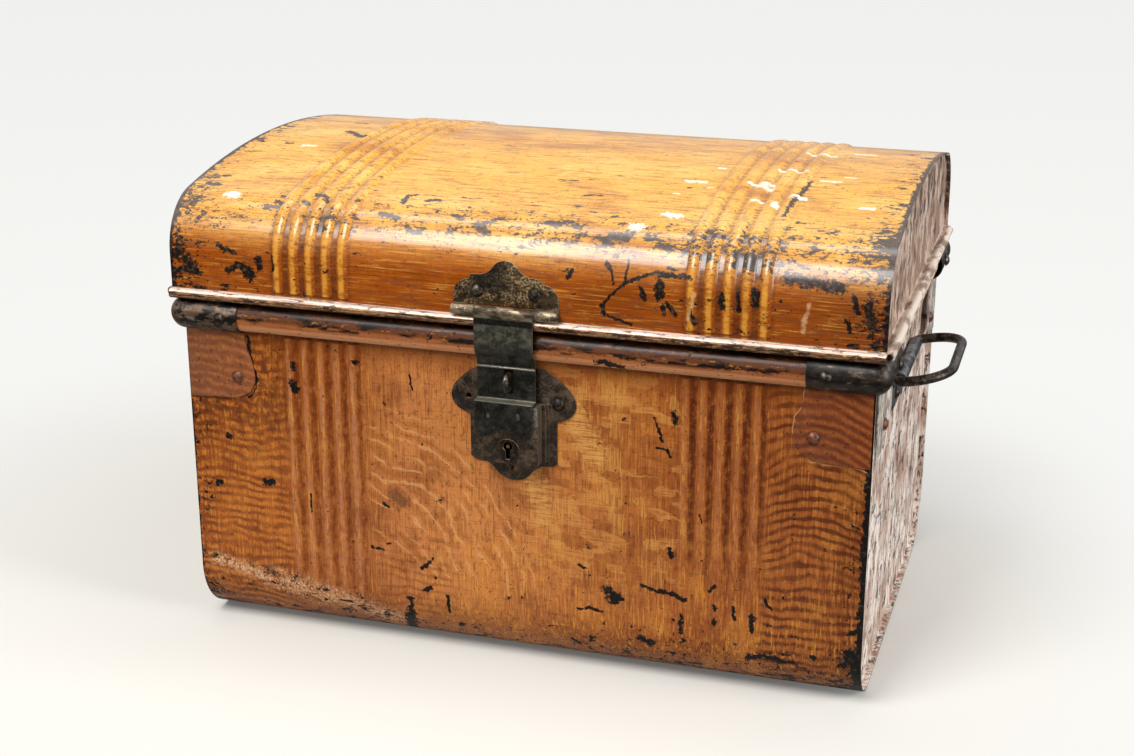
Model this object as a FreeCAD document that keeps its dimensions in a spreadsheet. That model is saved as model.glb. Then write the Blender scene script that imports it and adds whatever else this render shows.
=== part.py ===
import FreeCAD, Part
import math
import os
import Sketcher
from FreeCAD import Placement, Rotation, Vector

# A small sheet-steel dome top travel trunk, in millimetres.
# Origin: centre of the flat underside.  +X is the length, -Y the front, +Z is up.

doc = FreeCAD.newDocument("DomeTopTrunk")
sheet = doc.addObject("Spreadsheet::Sheet", "Sizes")
X_AXIS = Vector(1, 0, 0)
Y_AXIS = Vector(0, 1, 0)
Z_AXIS = Vector(0, 0, 1)


class Size:
    """A length that keeps the formula it came from, so that a feature can be bound to it."""

    def __init__(self, value, formula):
        self.value = float(value)
        self.formula = formula

    def __add__(self, other):
        other = as_size(other)
        return Size(self.value + other.value, f"({self.formula} + {other.formula})")

    def __radd__(self, other):
        return as_size(other) + self

    def __sub__(self, other):
        other = as_size(other)
        return Size(self.value - other.value, f"({self.formula} - {other.formula})")

    def __rsub__(self, other):
        return as_size(other) - self

    def __mul__(self, other):
        other = as_size(other)
        return Size(self.value * other.value, f"({self.formula} * {other.formula})")

    def __rmul__(self, other):
        return as_size(other) * self

    def __truediv__(self, other):
        other = as_size(other)
        return Size(self.value / other.value, f"({self.formula} / {other.formula})")

    def __neg__(self):
        return Size(-self.value, f"(0 - {self.formula})")


def as_size(number):
    if isinstance(number, Size):
        return number
    if number < 0:
        return Size(number, f"(0 - {-number})")
    return Size(number, str(number))


def root(size):
    return Size(math.sqrt(size.value), f"sqrt({size.formula})")


def leg(hypotenuse, side):
    """The other short side of a right-angled triangle."""
    return root(hypotenuse * hypotenuse - side * side)


rows = []


def cell(alias, value, meaning):
    """One driving dimension: a row of the spreadsheet."""
    rows.append(alias)
    row = len(rows)
    sheet.set(f"A{row}", meaning)
    sheet.set(f"B{row}", str(value))
    sheet.setAlias(f"B{row}", alias)
    return Size(value, f"Sizes.{alias}")


# ---------------------------------------------------------------- driving sizes
body_length = cell("BodyLength", 508, "length of the body sheet along X")
body_depth = cell("BodyDepth", 340, "depth of the body over its front and back")
rim_top = cell("RimTop", 278, "height of the body's rim inside the lid")
bottom_radius = cell("BottomRadius", 48, "rolled lower edge of the front and back")
skin = cell("SheetSkin", 1, "thickness of the body and lid sheet")
bead_drop = cell("BeadDrop", 27, "distance of the middle of the swaged bead under the rim")
bead_half = cell("BeadHalf", 11, "half of the bead's height")
bead_bulge = cell("BeadBulge", 9, "how far the front and back beads stand out")
end_bulge = cell("EndBulge", 10.5, "how far the beads of the end panels stand out")
end_recess = cell("EndRecess", 4.5, "how deep the end panels lie inside the body's lip")
seam_gap = cell("SeamGap", 0.1, "slack between an end panel and the sheet round it")
flush_gap = cell("FlushGap", 0.3, "slack under a cap or plate that bridges a joint")
root_depth = cell("RootDepth", 0.4, "how deep the root of a pressed ridge lies in its sheet")
break_out = cell("BreakOut", 0.1, "how far a hollow is cut past the face it opens")
shank_tail = cell("ShankTail", 1, "how far a rivet's shank reaches past the innermost sheet")

lid_overlap = cell("LidOverlap", 5.4, "how far the lid's front stands out past the body")
lid_end_overlap = cell("LidEndOverlap", 6.2, "how far the lid's ends stand out past the body")
lid_end_recess = cell("LidEndRecess", 3.2, "how deep the lid's end panels lie inside its lip")
seam_drop = cell("SeamDrop", 11, "distance of the axis of the lid's wired edge under the body's rim")
crown_rise = cell("CrownRise", 86, "height of the lid's crown over its wired edge")
crown_radius = cell("CrownRadius", 676, "radius of the lid's flat crown")
shoulder_radius = cell("ShoulderRadius", 42, "radius of the lid's shoulders")
roll_radius = cell("RollRadius", 3.5, "outer radius of the sheet rolled round the wire")
wire_slack = cell("WireSlack", 0.05, "slack between the wire and its roll")
wire_short = cell("WireShort", 4, "how far the wire stops inside each end of the roll")
ledge_out = cell("LedgeOut", 2, "ledge between a lid end panel and its roll")

rib_count = 5
rib_pitch = cell("RibPitch", 12.5, "distance between two ribs")
rib_width = cell("RibWidth", 9.5, "width of a rib at its foot")
rib_height = cell("RibHeight", 2.1, "how far a rib stands out")
body_rib_left = cell("BodyRibLeft", 146, "middle of the body's left rib group from the centre")
body_rib_right = cell("BodyRibRight", 150.7, "middle of the body's right rib group")
lid_rib_left = cell("LidRibLeft", 149.8, "middle of the lid's left rib group")
lid_rib_right = cell("LidRibRight", 153.4, "middle of the lid's right rib group")
rib_fade = cell("RibFade", 50, "length over which a body rib runs out at the bottom")
rib_last = cell("RibLast", 0.28, "height of a rib where it has run out")
rib_clear = cell("RibClear", 2, "distance of the ribs' upper ends from the bead")

bracket_sheet = cell("BracketSheet", 1, "thickness of the corner brackets")
bracket_reach = cell("BracketReach", 46, "length of a bracket's cap along the front")
bracket_end_reach = cell("BracketEndReach", 52, "length of a bracket's cap along the end")
leaf_reach = cell("LeafReach", 54.2, "width of a bracket's leaf at its widest")
leaf_hang = cell("LeafHang", 65, "distance of the leaves' lower edge under the middle of the bead")
leaf_toe_in = cell("LeafToeIn", 24, "where a leaf's level foot ends, from its widest point")
leaf_toe_rise = cell("LeafToeRise", 1.5, "rise of a leaf's foot")
leaf_heel_in = cell("LeafHeelIn", 7, "where a leaf's heel starts, from its widest point")
leaf_heel_rise = cell("LeafHeelRise", 6, "height of a leaf's heel")
leaf_foot_arc = cell("LeafFootArc", 30, "radius of a leaf's foot")
leaf_knee_rise = cell("LeafKneeRise", 18, "height of a leaf's widest point")
leaf_knee_arc = cell("LeafKneeArc", 16, "radius of a leaf's heel")
leaf_waist_in = cell("LeafWaistIn", 5, "how much narrower a leaf is at its waist")
leaf_waist_rise = cell("LeafWaistRise", 21, "height of a leaf's waist over its widest point")
leaf_waist_arc = cell("LeafWaistArc", 45, "radius of a leaf's side up to its waist")
leaf_neck_in = cell("LeafNeckIn", 2.6, "how much narrower a leaf is at the cap than at its waist")
corner_round = cell("CornerRound", 0.6, "how far the axis of a bracket's ball lies inside the body's corner")
corner_slot = cell("CornerSlot", 7, "open corner between a bracket's two leaves")
cap_rivet_in = cell("CapRivetIn", 33, "distance of a cap's rivet from the corner")
leaf_rivet_in = cell("LeafRivetIn", 40.5, "distance of a leaf's rivet from the corner")
leaf_rivet_rise = cell("LeafRivetRise", 18.5, "height of the leaf rivets over the leaves' lower edge")

rivet_head = cell("RivetHead", 4.8, "radius of a rivet's head")
rivet_rise = cell("RivetRise", 3, "height of a rivet's head")
rivet_shank = cell("RivetShank", 2, "radius of a rivet's shank")
rivet_slack = cell("RivetSlack", 0.05, "slack of a rivet in its hole")

lock_centre = cell("LockCentre", 0.6, "middle of the lock along X")
lock_sheet = cell("LockSheet", 1.2, "thickness of the lock's back plate")
lock_half = cell("LockHalf", 32.3, "half of the width of the lock's back plate")
lock_drop = cell("LockDrop", 17, "distance of the lock plate's top edge under the middle of the bead")
lock_tall = cell("LockTall", 70, "height of the lock plate's sides")
ear_reach = cell("EarReach", 46.3, "distance of the tip of an ear from the lock's middle")
ear_drop = cell("EarDrop", 25, "distance of the lock's ears under its top edge")
ear_root_drop = cell("EarRootDrop", 13.5, "where the ears leave the plate, under their middle")
ear_chin_in = cell("EarChinIn", 7, "distance of an ear's lower corner from its tip")
ear_chin_rise = cell("EarChinRise", 3, "height of an ear's lower corner over its root")
ear_tip_arc = cell("EarTipArc", 13, "radius of an ear's tip")
ear_brow_in = cell("EarBrowIn", 5.5, "distance of an ear's upper corner from its tip")
ear_brow_rise = cell("EarBrowRise", 11.5, "height of an ear's upper corner over its middle")
ear_brow_arc = cell("EarBrowArc", 16, "radius of an ear's upper corner")
lock_brow_in = cell("LockBrowIn", 6, "where the plate's sloped top starts, from its side")
lock_brow_drop = cell("LockBrowDrop", 2.5, "depth of the plate's sloped top")
lock_brow_arc = cell("LockBrowArc", 45, "radius of the plate's sloped top")
lock_flat_in = cell("LockFlatIn", 9, "where the plate's level top ends, from its side")
lock_toe_in = cell("LockToeIn", 3, "where the plate's lower corner is cut, from its side")
lock_toe_drop = cell("LockToeDrop", 2, "depth of the plate's cut lower corner")
lock_hip_drop = cell("LockHipDrop", 3, "where the plate's ogee starts, under its lower corners")
lock_tip_drop = cell("LockTipDrop", 15.5, "distance of the plate's lowest point under its lower corners")
tip_half = cell("LockTipHalf", 11.5, "half of the width of the lock plate's rounded foot")
tip_rise = cell("LockTipRise", 4.5, "height of the lock plate's rounded foot")
tip_arc = cell("LockTipArc", 14.95, "radius of the lock plate's rounded foot")
ogee_arc = cell("LockOgeeArc", 25.2, "radius of the lock plate's ogee")
ogee_half = cell("LockOgeeHalf", 21, "half of the width of the lock plate's ogee")
ear_rivet = cell("EarRivet", 33.3, "distance of an ear's rivet from the lock's middle")
foot_hole_rise = cell("FootHoleRise", 8.5, "height of the hole in the plate's foot over its lowest point")
foot_hole_radius = cell("FootHoleRadius", 2.6, "radius of the hole in the plate's foot")
case_half = cell("CaseHalf", 22, "half of the width of the lock case")
case_drop = cell("CaseDrop", 25, "distance of the lock case's top under the plate's top edge")
case_tall = cell("CaseTall", 43.5, "height of the lock case")
case_depth = cell("CaseDepth", 12, "how far the lock case stands out from its plate")
case_flange = cell("CaseFlange", 5.2, "width of the case's side flanges")
case_wall = cell("CaseWall", 1, "wall of the lock case")
step_depth = cell("CaseStepDepth", 3, "thickness of the step at the case's right side")
step_width = cell("CaseStepWidth", 2.6, "width of the step at the case's right side")
window_lip = cell("CaseWindowLip", 1.8, "seat of the escutcheon round the hole in the case")
case_play = cell("CasePlay", 0.6, "slack round the lugs in the lock case")
key_rise = cell("KeyRise", 13.1, "height of the key's axis over the case's foot")
key_disc_rise = cell("KeyDiscRise", 10.2, "height of the escutcheon's middle over the case's foot")
key_disc_radius = cell("KeyDiscRadius", 8.7, "radius of the escutcheon")
key_hole_radius = cell("KeyHoleRadius", 3.4, "radius of the round part of the keyhole")
key_slot = cell("KeySlot", 3.2, "width of the keyhole's slot")
key_slot_drop = cell("KeySlotDrop", 9.6, "distance of the keyhole's lower end under the key's axis")
key_pin_radius = cell("KeyPinRadius", 1.3, "radius of the pin that the key turns on")
bolt_throw = cell("BoltThrow", 6, "travel of the lock's bolt")
bolt_gap = cell("BoltGap", 0.2, "running gap between the bolt and the lock plate")
bolt_side = cell("BoltSide", 0.8, "gap between the bolt and the lugs when the lock is open")
bolt_drop = cell("BoltDrop", 12.8, "distance of the slide's lower edge under the lugs' middle")
bolt_web_in = cell("BoltWebIn", 2, "where the bolt's web starts, from the slide's left edge")
bolt_nose = cell("BoltNose", 1, "how far the bolt's bar reaches past its slide")
bolt_play = cell("BoltPlay", 0.8, "gap between the bolt's bar and the eye round it")

staple_centre = cell("StapleCentre", -0.5, "middle of the staple along X")
staple_rod = cell("StapleRod", 2.2, "radius of the staple's rod")
staple_span = cell("StapleSpan", 9.6, "distance between the staple's two legs")
staple_drop = cell("StapleDrop", 9, "distance of the staple's middle under the plate's top edge")
staple_tail = cell("StapleTail", 2.5, "how far the staple's legs reach in from the body's front")
staple_reach = cell("StapleReach", 17, "how far the staple stands out from the body")

hasp_centre = cell("HaspCentre", -2.4, "middle of the hasp along X")
hasp_sheet = cell("HaspSheet", 1, "thickness of the hasp's plate and strap")
hasp_half = cell("HaspHalf", 38.5, "half of the width of the hasp's plate")
shoulder_rise = cell("HaspShoulderRise", 21.4, "height of the plate's shoulders over the pin")
peak_rise = cell("HaspPeakRise", 14.7, "height of the plate's peak over its shoulders")
shoulder_arc = cell("HaspShoulderArc", 12, "rounded shoulders of the hasp's plate")
step_in = cell("HaspStepIn", 13, "distance of the step from the side of the hasp's plate")
step_rise = cell("HaspStepRise", 3.4, "height of the step over the shoulders of the hasp's plate")
neck_half = cell("HaspNeckHalf", 19, "where the peak of the hasp's plate starts to rise")
neck_rise = cell("HaspNeckRise", 3.8, "height of that point over the plate's shoulders")
neck_arc = cell("HaspNeckArc", 13.5, "radius of the hollow beside the peak")
peak_half = cell("HaspPeakHalf", 9, "half of the width of the rounded peak")
peak_drop = cell("HaspPeakDrop", 5, "height of the rounded peak")
hasp_rivet = cell("HaspRivet", 20.8, "distance of the hasp's rivets from its middle")
hasp_rivet_rise = cell("HaspRivetRise", 13.4, "height of the hasp's rivets over its pin")
knuckle_rise = cell("KnuckleRise", 8.4, "height of the hasp's pin over the lid's wired edge")
pin_tail = cell("PinTail", 0.5, "how far the hasp's pin stands out at each end")
knuckle_radius = cell("KnuckleRadius", 3.9, "outer radius of the hasp's knuckles")
knuckle_wall = cell("KnuckleWall", 1.25, "wall of the hasp's knuckles")
pin_slack = cell("PinSlack", 0.05, "running clearance round a hinge pin")
knuckle_gap = cell("KnuckleGap", 0.25, "side gap between two knuckles")
strap_half = cell("StrapHalf", 21.5, "half of the width of the hasp's strap")
bend_start = cell("StrapBendStart", 1, "where the strap starts to bend in, over the middle of the bead")
bend_fall = cell("StrapBendFall", 16, "height of the strap's bend")
strap_inset = cell("StrapInset", 6, "how far the strap bends in under the bead")
fold_drop = cell("FoldDrop", 1.4, "distance of the fold across the strap under its bend")
fold_radius = cell("FoldRadius", 0.9, "radius of the fold across the strap")
tab_drop = cell("TabDrop", 15.9, "distance of the tab's lowest points under the lugs' middle")
tab_clear = cell("TabClear", 1.2, "gap between the strap's step and the top of the lock case")
lobe = cell("TabLobe", 8, "radius of the lobes of the tab's lower edge")
notch_rise = cell("TabNotchRise", 3.6, "depth of the notch between the tab's lobes")
slot_half = cell("SlotHalf", 3.4, "half of the width of the strap's slot")
slot_spare = cell("SlotSpare", 1.7, "free length of the strap's slot past each staple leg")
lug_half = cell("LugHalf", 11, "distance of each lug of the hasp's catch from its middle")
lug_width = cell("LugWidth", 2.4, "thickness of a lug")
lug_tall = cell("LugTall", 8, "height of a lug")
lug_drop = cell("LugDrop", 7.6, "distance of the lugs' middle under the top of the lock case")
lug_wall = cell("LugWall", 1.6, "wall round the eye of a lug")
tenon_step = cell("TenonStep", 1, "how much a lug is cut back at each end of its tenon")
lug_deep = cell("LugDeep", 8, "how far a lug reaches behind the tab")

handle_rod = cell("HandleRod", 3.6, "radius of a handle's rod")
handle_half = cell("HandleHalf", 53, "half of the distance between a handle's arms")
handle_reach = cell("HandleReach", 37, "distance of the grip from the pivot")
handle_bend = cell("HandleBend", 25, "bend between an arm and the grip")
handle_heel = cell("HandleHeel", 5, "bend between an arm and the pivot bar")
handle_drop = cell("HandleDrop", 42, "distance of the handles' pivots under the middle of the bead")
handle_lift = cell("HandleLift", 11.5, "angle of the right handle above level at rest, in degrees")
ear_barrel_half = cell("BarrelHalf", 45, "half of the length of a handle's barrel")
barrel_wall = cell("BarrelWall", 1.2, "wall of a handle's barrel")
plate_sheet = cell("PlateSheet", 1.1, "thickness of a handle's plate")
plate_drop = cell("PlateDrop", 25, "height of a handle's plate under its pivot")
plate_rivet_half = cell("PlateRivetHalf", 32, "distance of a plate's rivets from its middle")
plate_rivet_drop = cell("PlateRivetDrop", 15, "distance of a plate's rivets under the pivot")

hinge_centre = cell("HingeCentre", 85, "distance of each lid hinge from the middle")
hinge_half = cell("HingeHalf", 20, "half of the width of a lid hinge")
hinge_knuckle = cell("HingeKnuckle", 4.2, "outer radius of a lid hinge's knuckles")
hinge_sheet = cell("HingeSheet", 1.2, "thickness of the lid hinges' leaves")
hinge_bore = cell("HingeBore", 2.6, "bore of a lid hinge's knuckles")
hinge_drop = cell("HingeDrop", 6, "distance of the hinge pins under the lid's wired edge")
hinge_stand = cell("HingeStand", 10.2, "distance of a hinge's leaf from the body's back")
hinge_middle = cell("HingeMiddle", 7, "half of the length of a hinge's middle knuckle")
body_leaf_tall = cell("HingeBodyLeafTall", 35, "length of a body leaf under the bead")
crank_foot = cell("HingeCrankFoot", 3, "where a body leaf's crank starts, under the bead")
lid_leaf_tall = cell("HingeLidLeafTall", 24.1, "length of a lid leaf over its crank")
lid_leaf_rise = cell("HingeLidLeafRise", 11.9, "where the lid leaf's crank starts, over the lid's wired edge")
crank_clear = cell("HingeCrankClear", 1, "gap between the lid's rolled edge and a lid leaf's arm")
crank_bend = cell("HingeCrankBend", 0.72, "fall of the outer bend line of a crank against the inner one")
arm_bend = cell("HingeArmBend", 2, "height of the bend of a lid leaf's arm")
hinge_pin_tail = cell("HingePinTail", 1, "how far a hinge pin stands out at each end")
hinge_rivet_half = cell("HingeRivetHalf", 13, "distance of a hinge's rivets from its middle")

doc.recompute()


# ---------------------------------------------------------------- feature helpers
def new_body(label):
    body = doc.addObject("PartDesign::Body", label)
    body.Label = label
    return body


def origin_item(body, role):
    """One of the body's own origin planes or axes."""
    return [item for item in body.Origin.OriginFeatures if item.Role == role][0]


def sketch_on(body, plane, at=None):
    """A sketch on an origin plane, moved along X, Y or Z to the coordinate `at`.
    Sketch axes: YZ -> (Y, Z), XZ -> (X, Z), XY -> (X, Y)."""
    sketch = body.newObject("Sketcher::SketchObject", f"{body.Name}_{plane}")
    sketch.AttachmentSupport = [(origin_item(body, f"{plane}_Plane"), "")]
    sketch.MapMode = "FlatFace"
    if at is not None:
        offset = -as_size(at) if plane == "XZ" else as_size(at)
        sketch.AttachmentOffset = Placement(Vector(0, 0, offset.value), Rotation())
        sketch.setExpression("AttachmentOffset.Base.z", offset.formula)
    return sketch


def bind(sketch, kind, references, size):
    number = sketch.addConstraint(Sketcher.Constraint(kind, *references, size.value))
    if "Sizes." in size.formula:
        sketch.setExpression(f"Constraints[{number}]", size.formula)


def pin_point(sketch, edge, end, point):
    bind(sketch, "DistanceX", (-1, 1, edge, end), as_size(point[0]))
    bind(sketch, "DistanceY", (-1, 1, edge, end), as_size(point[1]))


def add_edge(sketch, start, entry):
    """Adds the line or arc from `start` to the point of `entry`; returns (edge, first, last)."""
    x0, y0 = (as_size(v).value for v in start[:2])
    x1, y1 = (as_size(v).value for v in entry[:2])
    if len(entry) == 2:
        return sketch.addGeometry(Part.LineSegment(Vector(x0, y0, 0), Vector(x1, y1, 0)), False), 1, 2
    radius = as_size(entry[2]).value
    turn = entry[3]
    chord = math.hypot(x1 - x0, y1 - y0)
    off = turn * math.sqrt(max(0.0, radius ** 2 - (chord / 2) ** 2))
    cx = (x0 + x1) / 2 - off * (y1 - y0) / chord
    cy = (y0 + y1) / 2 + off * (x1 - x0) / chord
    a0 = math.atan2(y0 - cy, x0 - cx)
    a1 = math.atan2(y1 - cy, x1 - cx)
    if turn < 0:
        a0, a1 = a1, a0
    while a1 < a0:
        a1 += 2 * math.pi
    circle = Part.Circle(Vector(cx, cy, 0), Z_AXIS, radius)
    edge = sketch.addGeometry(Part.ArcOfCircle(circle, a0, a1), False)
    bind(sketch, "Radius", (edge,), as_size(entry[2]))
    return (edge, 1, 2) if turn > 0 else (edge, 2, 1)


def outline(sketch, entries, closed=True):
    """A chain of edges.  An entry (x, y) is reached by a line, (x, y, radius, turn) by an arc
    of less than half a circle, turn 1 for anticlockwise and -1 for clockwise."""
    edges = []
    start = entries[-1] if closed else entries[0]
    for entry in entries if closed else entries[1:]:
        edges.append(add_edge(sketch, start, entry) + (entry,))
        start = entry
    if not closed:
        pin_point(sketch, edges[0][0], edges[0][1], entries[0])
    for index, (edge, first, last, entry) in enumerate(edges):
        if closed or index + 1 < len(edges):
            following = edges[(index + 1) % len(edges)]
            sketch.addConstraint(Sketcher.Constraint("Coincident", edge, last, following[0], following[1]))
        pin_point(sketch, edge, last, entry)
    return sketch


def ring(sketch, x, y, *radii):
    for radius in radii:
        circle = Part.Circle(Vector(as_size(x).value, as_size(y).value, 0), Z_AXIS, as_size(radius).value)
        edge = sketch.addGeometry(circle, False)
        pin_point(sketch, edge, 3, (x, y))
        bind(sketch, "Radius", (edge,), as_size(radius))
    return sketch


def rectangle(sketch, x0, x1, y0, y1):
    return outline(sketch, [(x0, y0), (x1, y0), (x1, y1), (x0, y1)])


def pad(body, sketch, length, side="along"):
    """Pads along the sketch's normal (+X on YZ, -Y on XZ, +Z on XY), against it, or both ways."""
    feature = body.newObject("PartDesign::Pad", f"{body.Name}_pad")
    feature.Profile = sketch
    feature.setExpression("Length", as_size(length).formula)
    if side == "both":
        feature.SideType = "Symmetric"
    feature.Reversed = side == "against"
    return feature


def pocket(body, sketch, length, side="both"):
    """Cuts along the sketch's normal, against it, or half the length each way."""
    before = solid_volume(body)
    feature = body.newObject("PartDesign::Pocket", f"{body.Name}_cut")
    feature.Profile = sketch
    feature.setExpression("Length", as_size(length).formula)
    if side == "both":
        feature.SideType = "Symmetric"
    feature.Reversed = side == "along"
    if not solid_volume(body) < before:
        raise RuntimeError(f"{feature.Name} removes nothing")
    return feature


def solid_volume(body):
    doc.recompute()
    return body.Shape.Volume


def mirror_whole(body, plane):
    """Repeats the whole body so far on the other side of an origin plane."""
    doc.recompute()
    feature = body.newObject("PartDesign::Mirrored", f"{body.Name}_mirror")
    feature.MirrorPlane = (origin_item(body, f"{plane}_Plane"), [""])
    feature.TransformMode = "Whole shape"
    body.Tip = feature
    return feature


def repeat_along_x(body, features, count, pitch):
    doc.recompute()
    feature = body.newObject("PartDesign::LinearPattern", f"{body.Name}_row")
    feature.Originals = features
    feature.Direction = (origin_item(body, "X_Axis"), [""])
    feature.Mode = "Spacing"
    feature.Occurrences = count
    feature.setExpression("Offset", as_size(pitch).formula)
    body.Tip = feature
    return feature


def sweep(body, kind, profile, path):
    feature = body.newObject(f"PartDesign::{kind}", f"{body.Name}_sweep")
    feature.Profile = profile
    feature.Spine = path
    feature.Transition = "Transformed"
    return feature


def mirrored_copy(source, label, normal):
    copy = doc.addObject("Part::Mirroring", label)
    copy.Label = label
    copy.Source = source
    copy.Normal = normal
    return copy


finished = []


def keep(*objects):
    finished.extend(objects)


# ---------------------------------------------------------------- positions that many pieces share
front = body_depth / 2
side = body_length / 2
bead_level = rim_top - bead_drop
seam_level = rim_top - seam_drop
crown_top = seam_level + crown_rise
leaf_bottom = bead_level - leaf_hang
leaf_rivet_level = leaf_bottom + leaf_rivet_rise
lock_top = bead_level - lock_drop
lock_foot = lock_top - lock_tall
lock_tip = lock_foot - lock_tip_drop
ear_level = lock_top - ear_drop
case_top = lock_top - case_drop
case_foot = case_top - case_tall
key_level = case_foot + key_rise
key_disc_level = case_foot + key_disc_rise
staple_level = lock_top - staple_drop
knuckle_level = seam_level + knuckle_rise
hasp_shoulder = knuckle_level + shoulder_rise
hasp_rivet_level = knuckle_level + hasp_rivet_rise
lug_level = case_top - lug_drop
handle_level = bead_level - handle_drop
hinge_level = seam_level - hinge_drop
through = 4  # a cut of this many wall thicknesses, half of it each way, goes right through the wall

bead_arc = (bead_half * bead_half + bead_bulge * bead_bulge) / (2 * bead_bulge)
bead_axis = front + bead_bulge - bead_arc
inner_bead_arc = bead_arc - skin
inner_bead_half = leg(inner_bead_arc, front - skin - bead_axis)
panel_face = side - end_recess

lid_front = front + lid_overlap
lid_side = side + lid_end_overlap
lid_face = lid_side - lid_end_recess
roll_axis = lid_front - skin + roll_radius
end_roll_axis = lid_face - skin + ledge_out + roll_radius
shoulder_axis = lid_front - shoulder_radius
crown_axis = crown_top - crown_radius
axis_gap = crown_radius - shoulder_radius
shoulder_level = crown_axis + leg(axis_gap, shoulder_axis)


def dome_turn(inset):
    """The point (y, z) at the front where the crown and the shoulder meet, `inset` inside the lid."""
    share = (crown_radius - inset) / axis_gap
    return -(shoulder_axis * share), crown_axis + (shoulder_level - crown_axis) * share


hole_radius = rivet_shank + rivet_slack
cap_rivet_x = side - cap_rivet_in
leaf_rivet_x = side - leaf_rivet_in
cap_rivet_y = front - cap_rivet_in
leaf_rivet_y = front - leaf_rivet_in
hasp_axis_y = lid_front + knuckle_radius + pin_slack
hinge_axis_y = front + hinge_stand + hinge_knuckle + pin_slack
handle_barrel = handle_rod + pin_slack + barrel_wall
handle_axis_x = panel_face + handle_barrel + pin_slack


# ---------------------------------------------------------------- pressed ribs
def rib_profile(sketch, middle, face, side_of_face, wall, grow):
    """A rounded ridge across the sheet whose outer face lies at y = side_of_face * face.
    With a wall it is the hollow behind the ridge, with none the ridge itself; grow widens the foot."""
    arc = (rib_width * rib_width / 4 + rib_height * rib_height) / (2 * rib_height)
    axis = face + rib_height - arc
    foot = face - grow
    radius = arc - wall
    half = leg(radius, foot - axis)
    y = side_of_face * foot
    turn = 1 if side_of_face < 0 else -1
    return outline(sketch, [(middle - half, y), (middle + half, y, radius, turn)])


# ---------------------------------------------------------------- body
# Front, bottom and back are one sheet, with a half-round bead swaged below the rim.
body_wrap = new_body("body_wrap")
section = sketch_on(body_wrap, "YZ")
outline(section, [
    (-front, rim_top),
    (-front, bead_level + bead_half),
    (-front, bead_level - bead_half, bead_arc, 1),
    (-front, bottom_radius),
    (-(front - bottom_radius), 0, bottom_radius, 1),
    (0, 0),
    (0, skin),
    (-(front - bottom_radius), skin),
    (-(front - skin), bottom_radius, bottom_radius - skin, -1),
    (-(front - skin), bead_level - inner_bead_half),
    (-(front - skin), bead_level + inner_bead_half, inner_bead_arc, -1),
    (-(front - skin), rim_top),
])
pad(body_wrap, section, body_length, "both")

rib_top = bead_level - bead_half - rib_clear
rib_foot = bottom_radius
rib_first = rib_pitch * (rib_count - 1) / 2
for middle in (-body_rib_left, body_rib_right):
    first = middle - rib_first
    ridge_sketch = rib_profile(sketch_on(body_wrap, "XY", rib_top), first, front, -1, 0, root_depth)
    ridge = pad(body_wrap, ridge_sketch, rib_top - rib_foot - rib_fade, "against")
    start = rib_profile(sketch_on(body_wrap, "XY", rib_foot + rib_fade), first, front, -1, 0, root_depth)
    finish = sketch_on(body_wrap, "XY", rib_foot)
    low_rise = rib_last + root_depth
    low_arc = (rib_width * rib_width / 4 + low_rise * low_rise) / (2 * low_rise)
    outline(finish, [(first - rib_width / 2, -(front - root_depth)),
                     (first + rib_width / 2, -(front - root_depth), low_arc, 1)])
    doc.recompute()
    fade = body_wrap.newObject("PartDesign::AdditiveLoft", "body_rib_fade")
    fade.Profile = start
    fade.Sections = [finish]
    doc.recompute()
    hollow = rib_profile(sketch_on(body_wrap, "XY", rib_top - skin), first, front, -1, skin, skin + break_out)
    channel = pocket(body_wrap, hollow, rib_top - rib_foot - rib_fade - rib_clear, "against")
    repeat_along_x(body_wrap, [ridge, fade, channel], rib_count, rib_pitch)

bracket_holes = sketch_on(body_wrap, "XZ", -front)
for sign in (-1, 1):
    ring(bracket_holes, sign * cap_rivet_x, bead_level, hole_radius)
    ring(bracket_holes, sign * leaf_rivet_x, leaf_rivet_level, hole_radius)
pocket(body_wrap, bracket_holes, through * bead_bulge)
mirror_whole(body_wrap, "XZ")

lock_holes = sketch_on(body_wrap, "XZ", -front)
for sign in (-1, 1):
    ring(lock_holes, lock_centre + sign * ear_rivet, ear_level, hole_radius)
    ring(lock_holes, staple_centre, staple_level + sign * staple_span / 2, staple_rod + rivet_slack)
pocket(body_wrap, lock_holes, through * skin)
hinge_holes = sketch_on(body_wrap, "XZ", front)
body_leaf_foot = bead_level - bead_half - body_leaf_tall
body_leaf_rivet_level = body_leaf_foot + body_leaf_tall / 2
for sign in (-1, 1):
    for offset in (-hinge_rivet_half, hinge_rivet_half):
        ring(hinge_holes, sign * hinge_centre + offset, body_leaf_rivet_level, hole_radius)
pocket(body_wrap, hinge_holes, through * skin)
keep(body_wrap)

# Each end is a panel set back inside the lip of the body sheet, with a flange that lines the lip
# and its own swaged bead.
body_end_right = new_body("body_end_right")
edge_y = front - skin - seam_gap
edge_z = skin + seam_gap
edge_radius = bottom_radius - skin - seam_gap
half_panel = sketch_on(body_end_right, "YZ", panel_face)
outline(half_panel, [
    (-edge_y, rim_top),
    (-edge_y, bottom_radius),
    (-(front - bottom_radius), edge_z, edge_radius, 1),
    (0, edge_z),
    (0, rim_top),
])
pad(body_end_right, half_panel, skin, "against")
half_flange = sketch_on(body_end_right, "YZ", panel_face)
outline(half_flange, [
    (-edge_y, rim_top),
    (-edge_y, bottom_radius),
    (-(front - bottom_radius), edge_z, edge_radius, 1),
    (0, edge_z),
    (0, edge_z + skin),
    (-(front - bottom_radius), edge_z + skin),
    (-(edge_y - skin), bottom_radius, edge_radius - skin, -1),
    (-(edge_y - skin), rim_top),
])
pad(body_end_right, half_flange, end_recess)
end_arc = (bead_half * bead_half + end_bulge * end_bulge) / (2 * end_bulge)
end_axis = panel_face + end_bulge - end_arc
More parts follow.
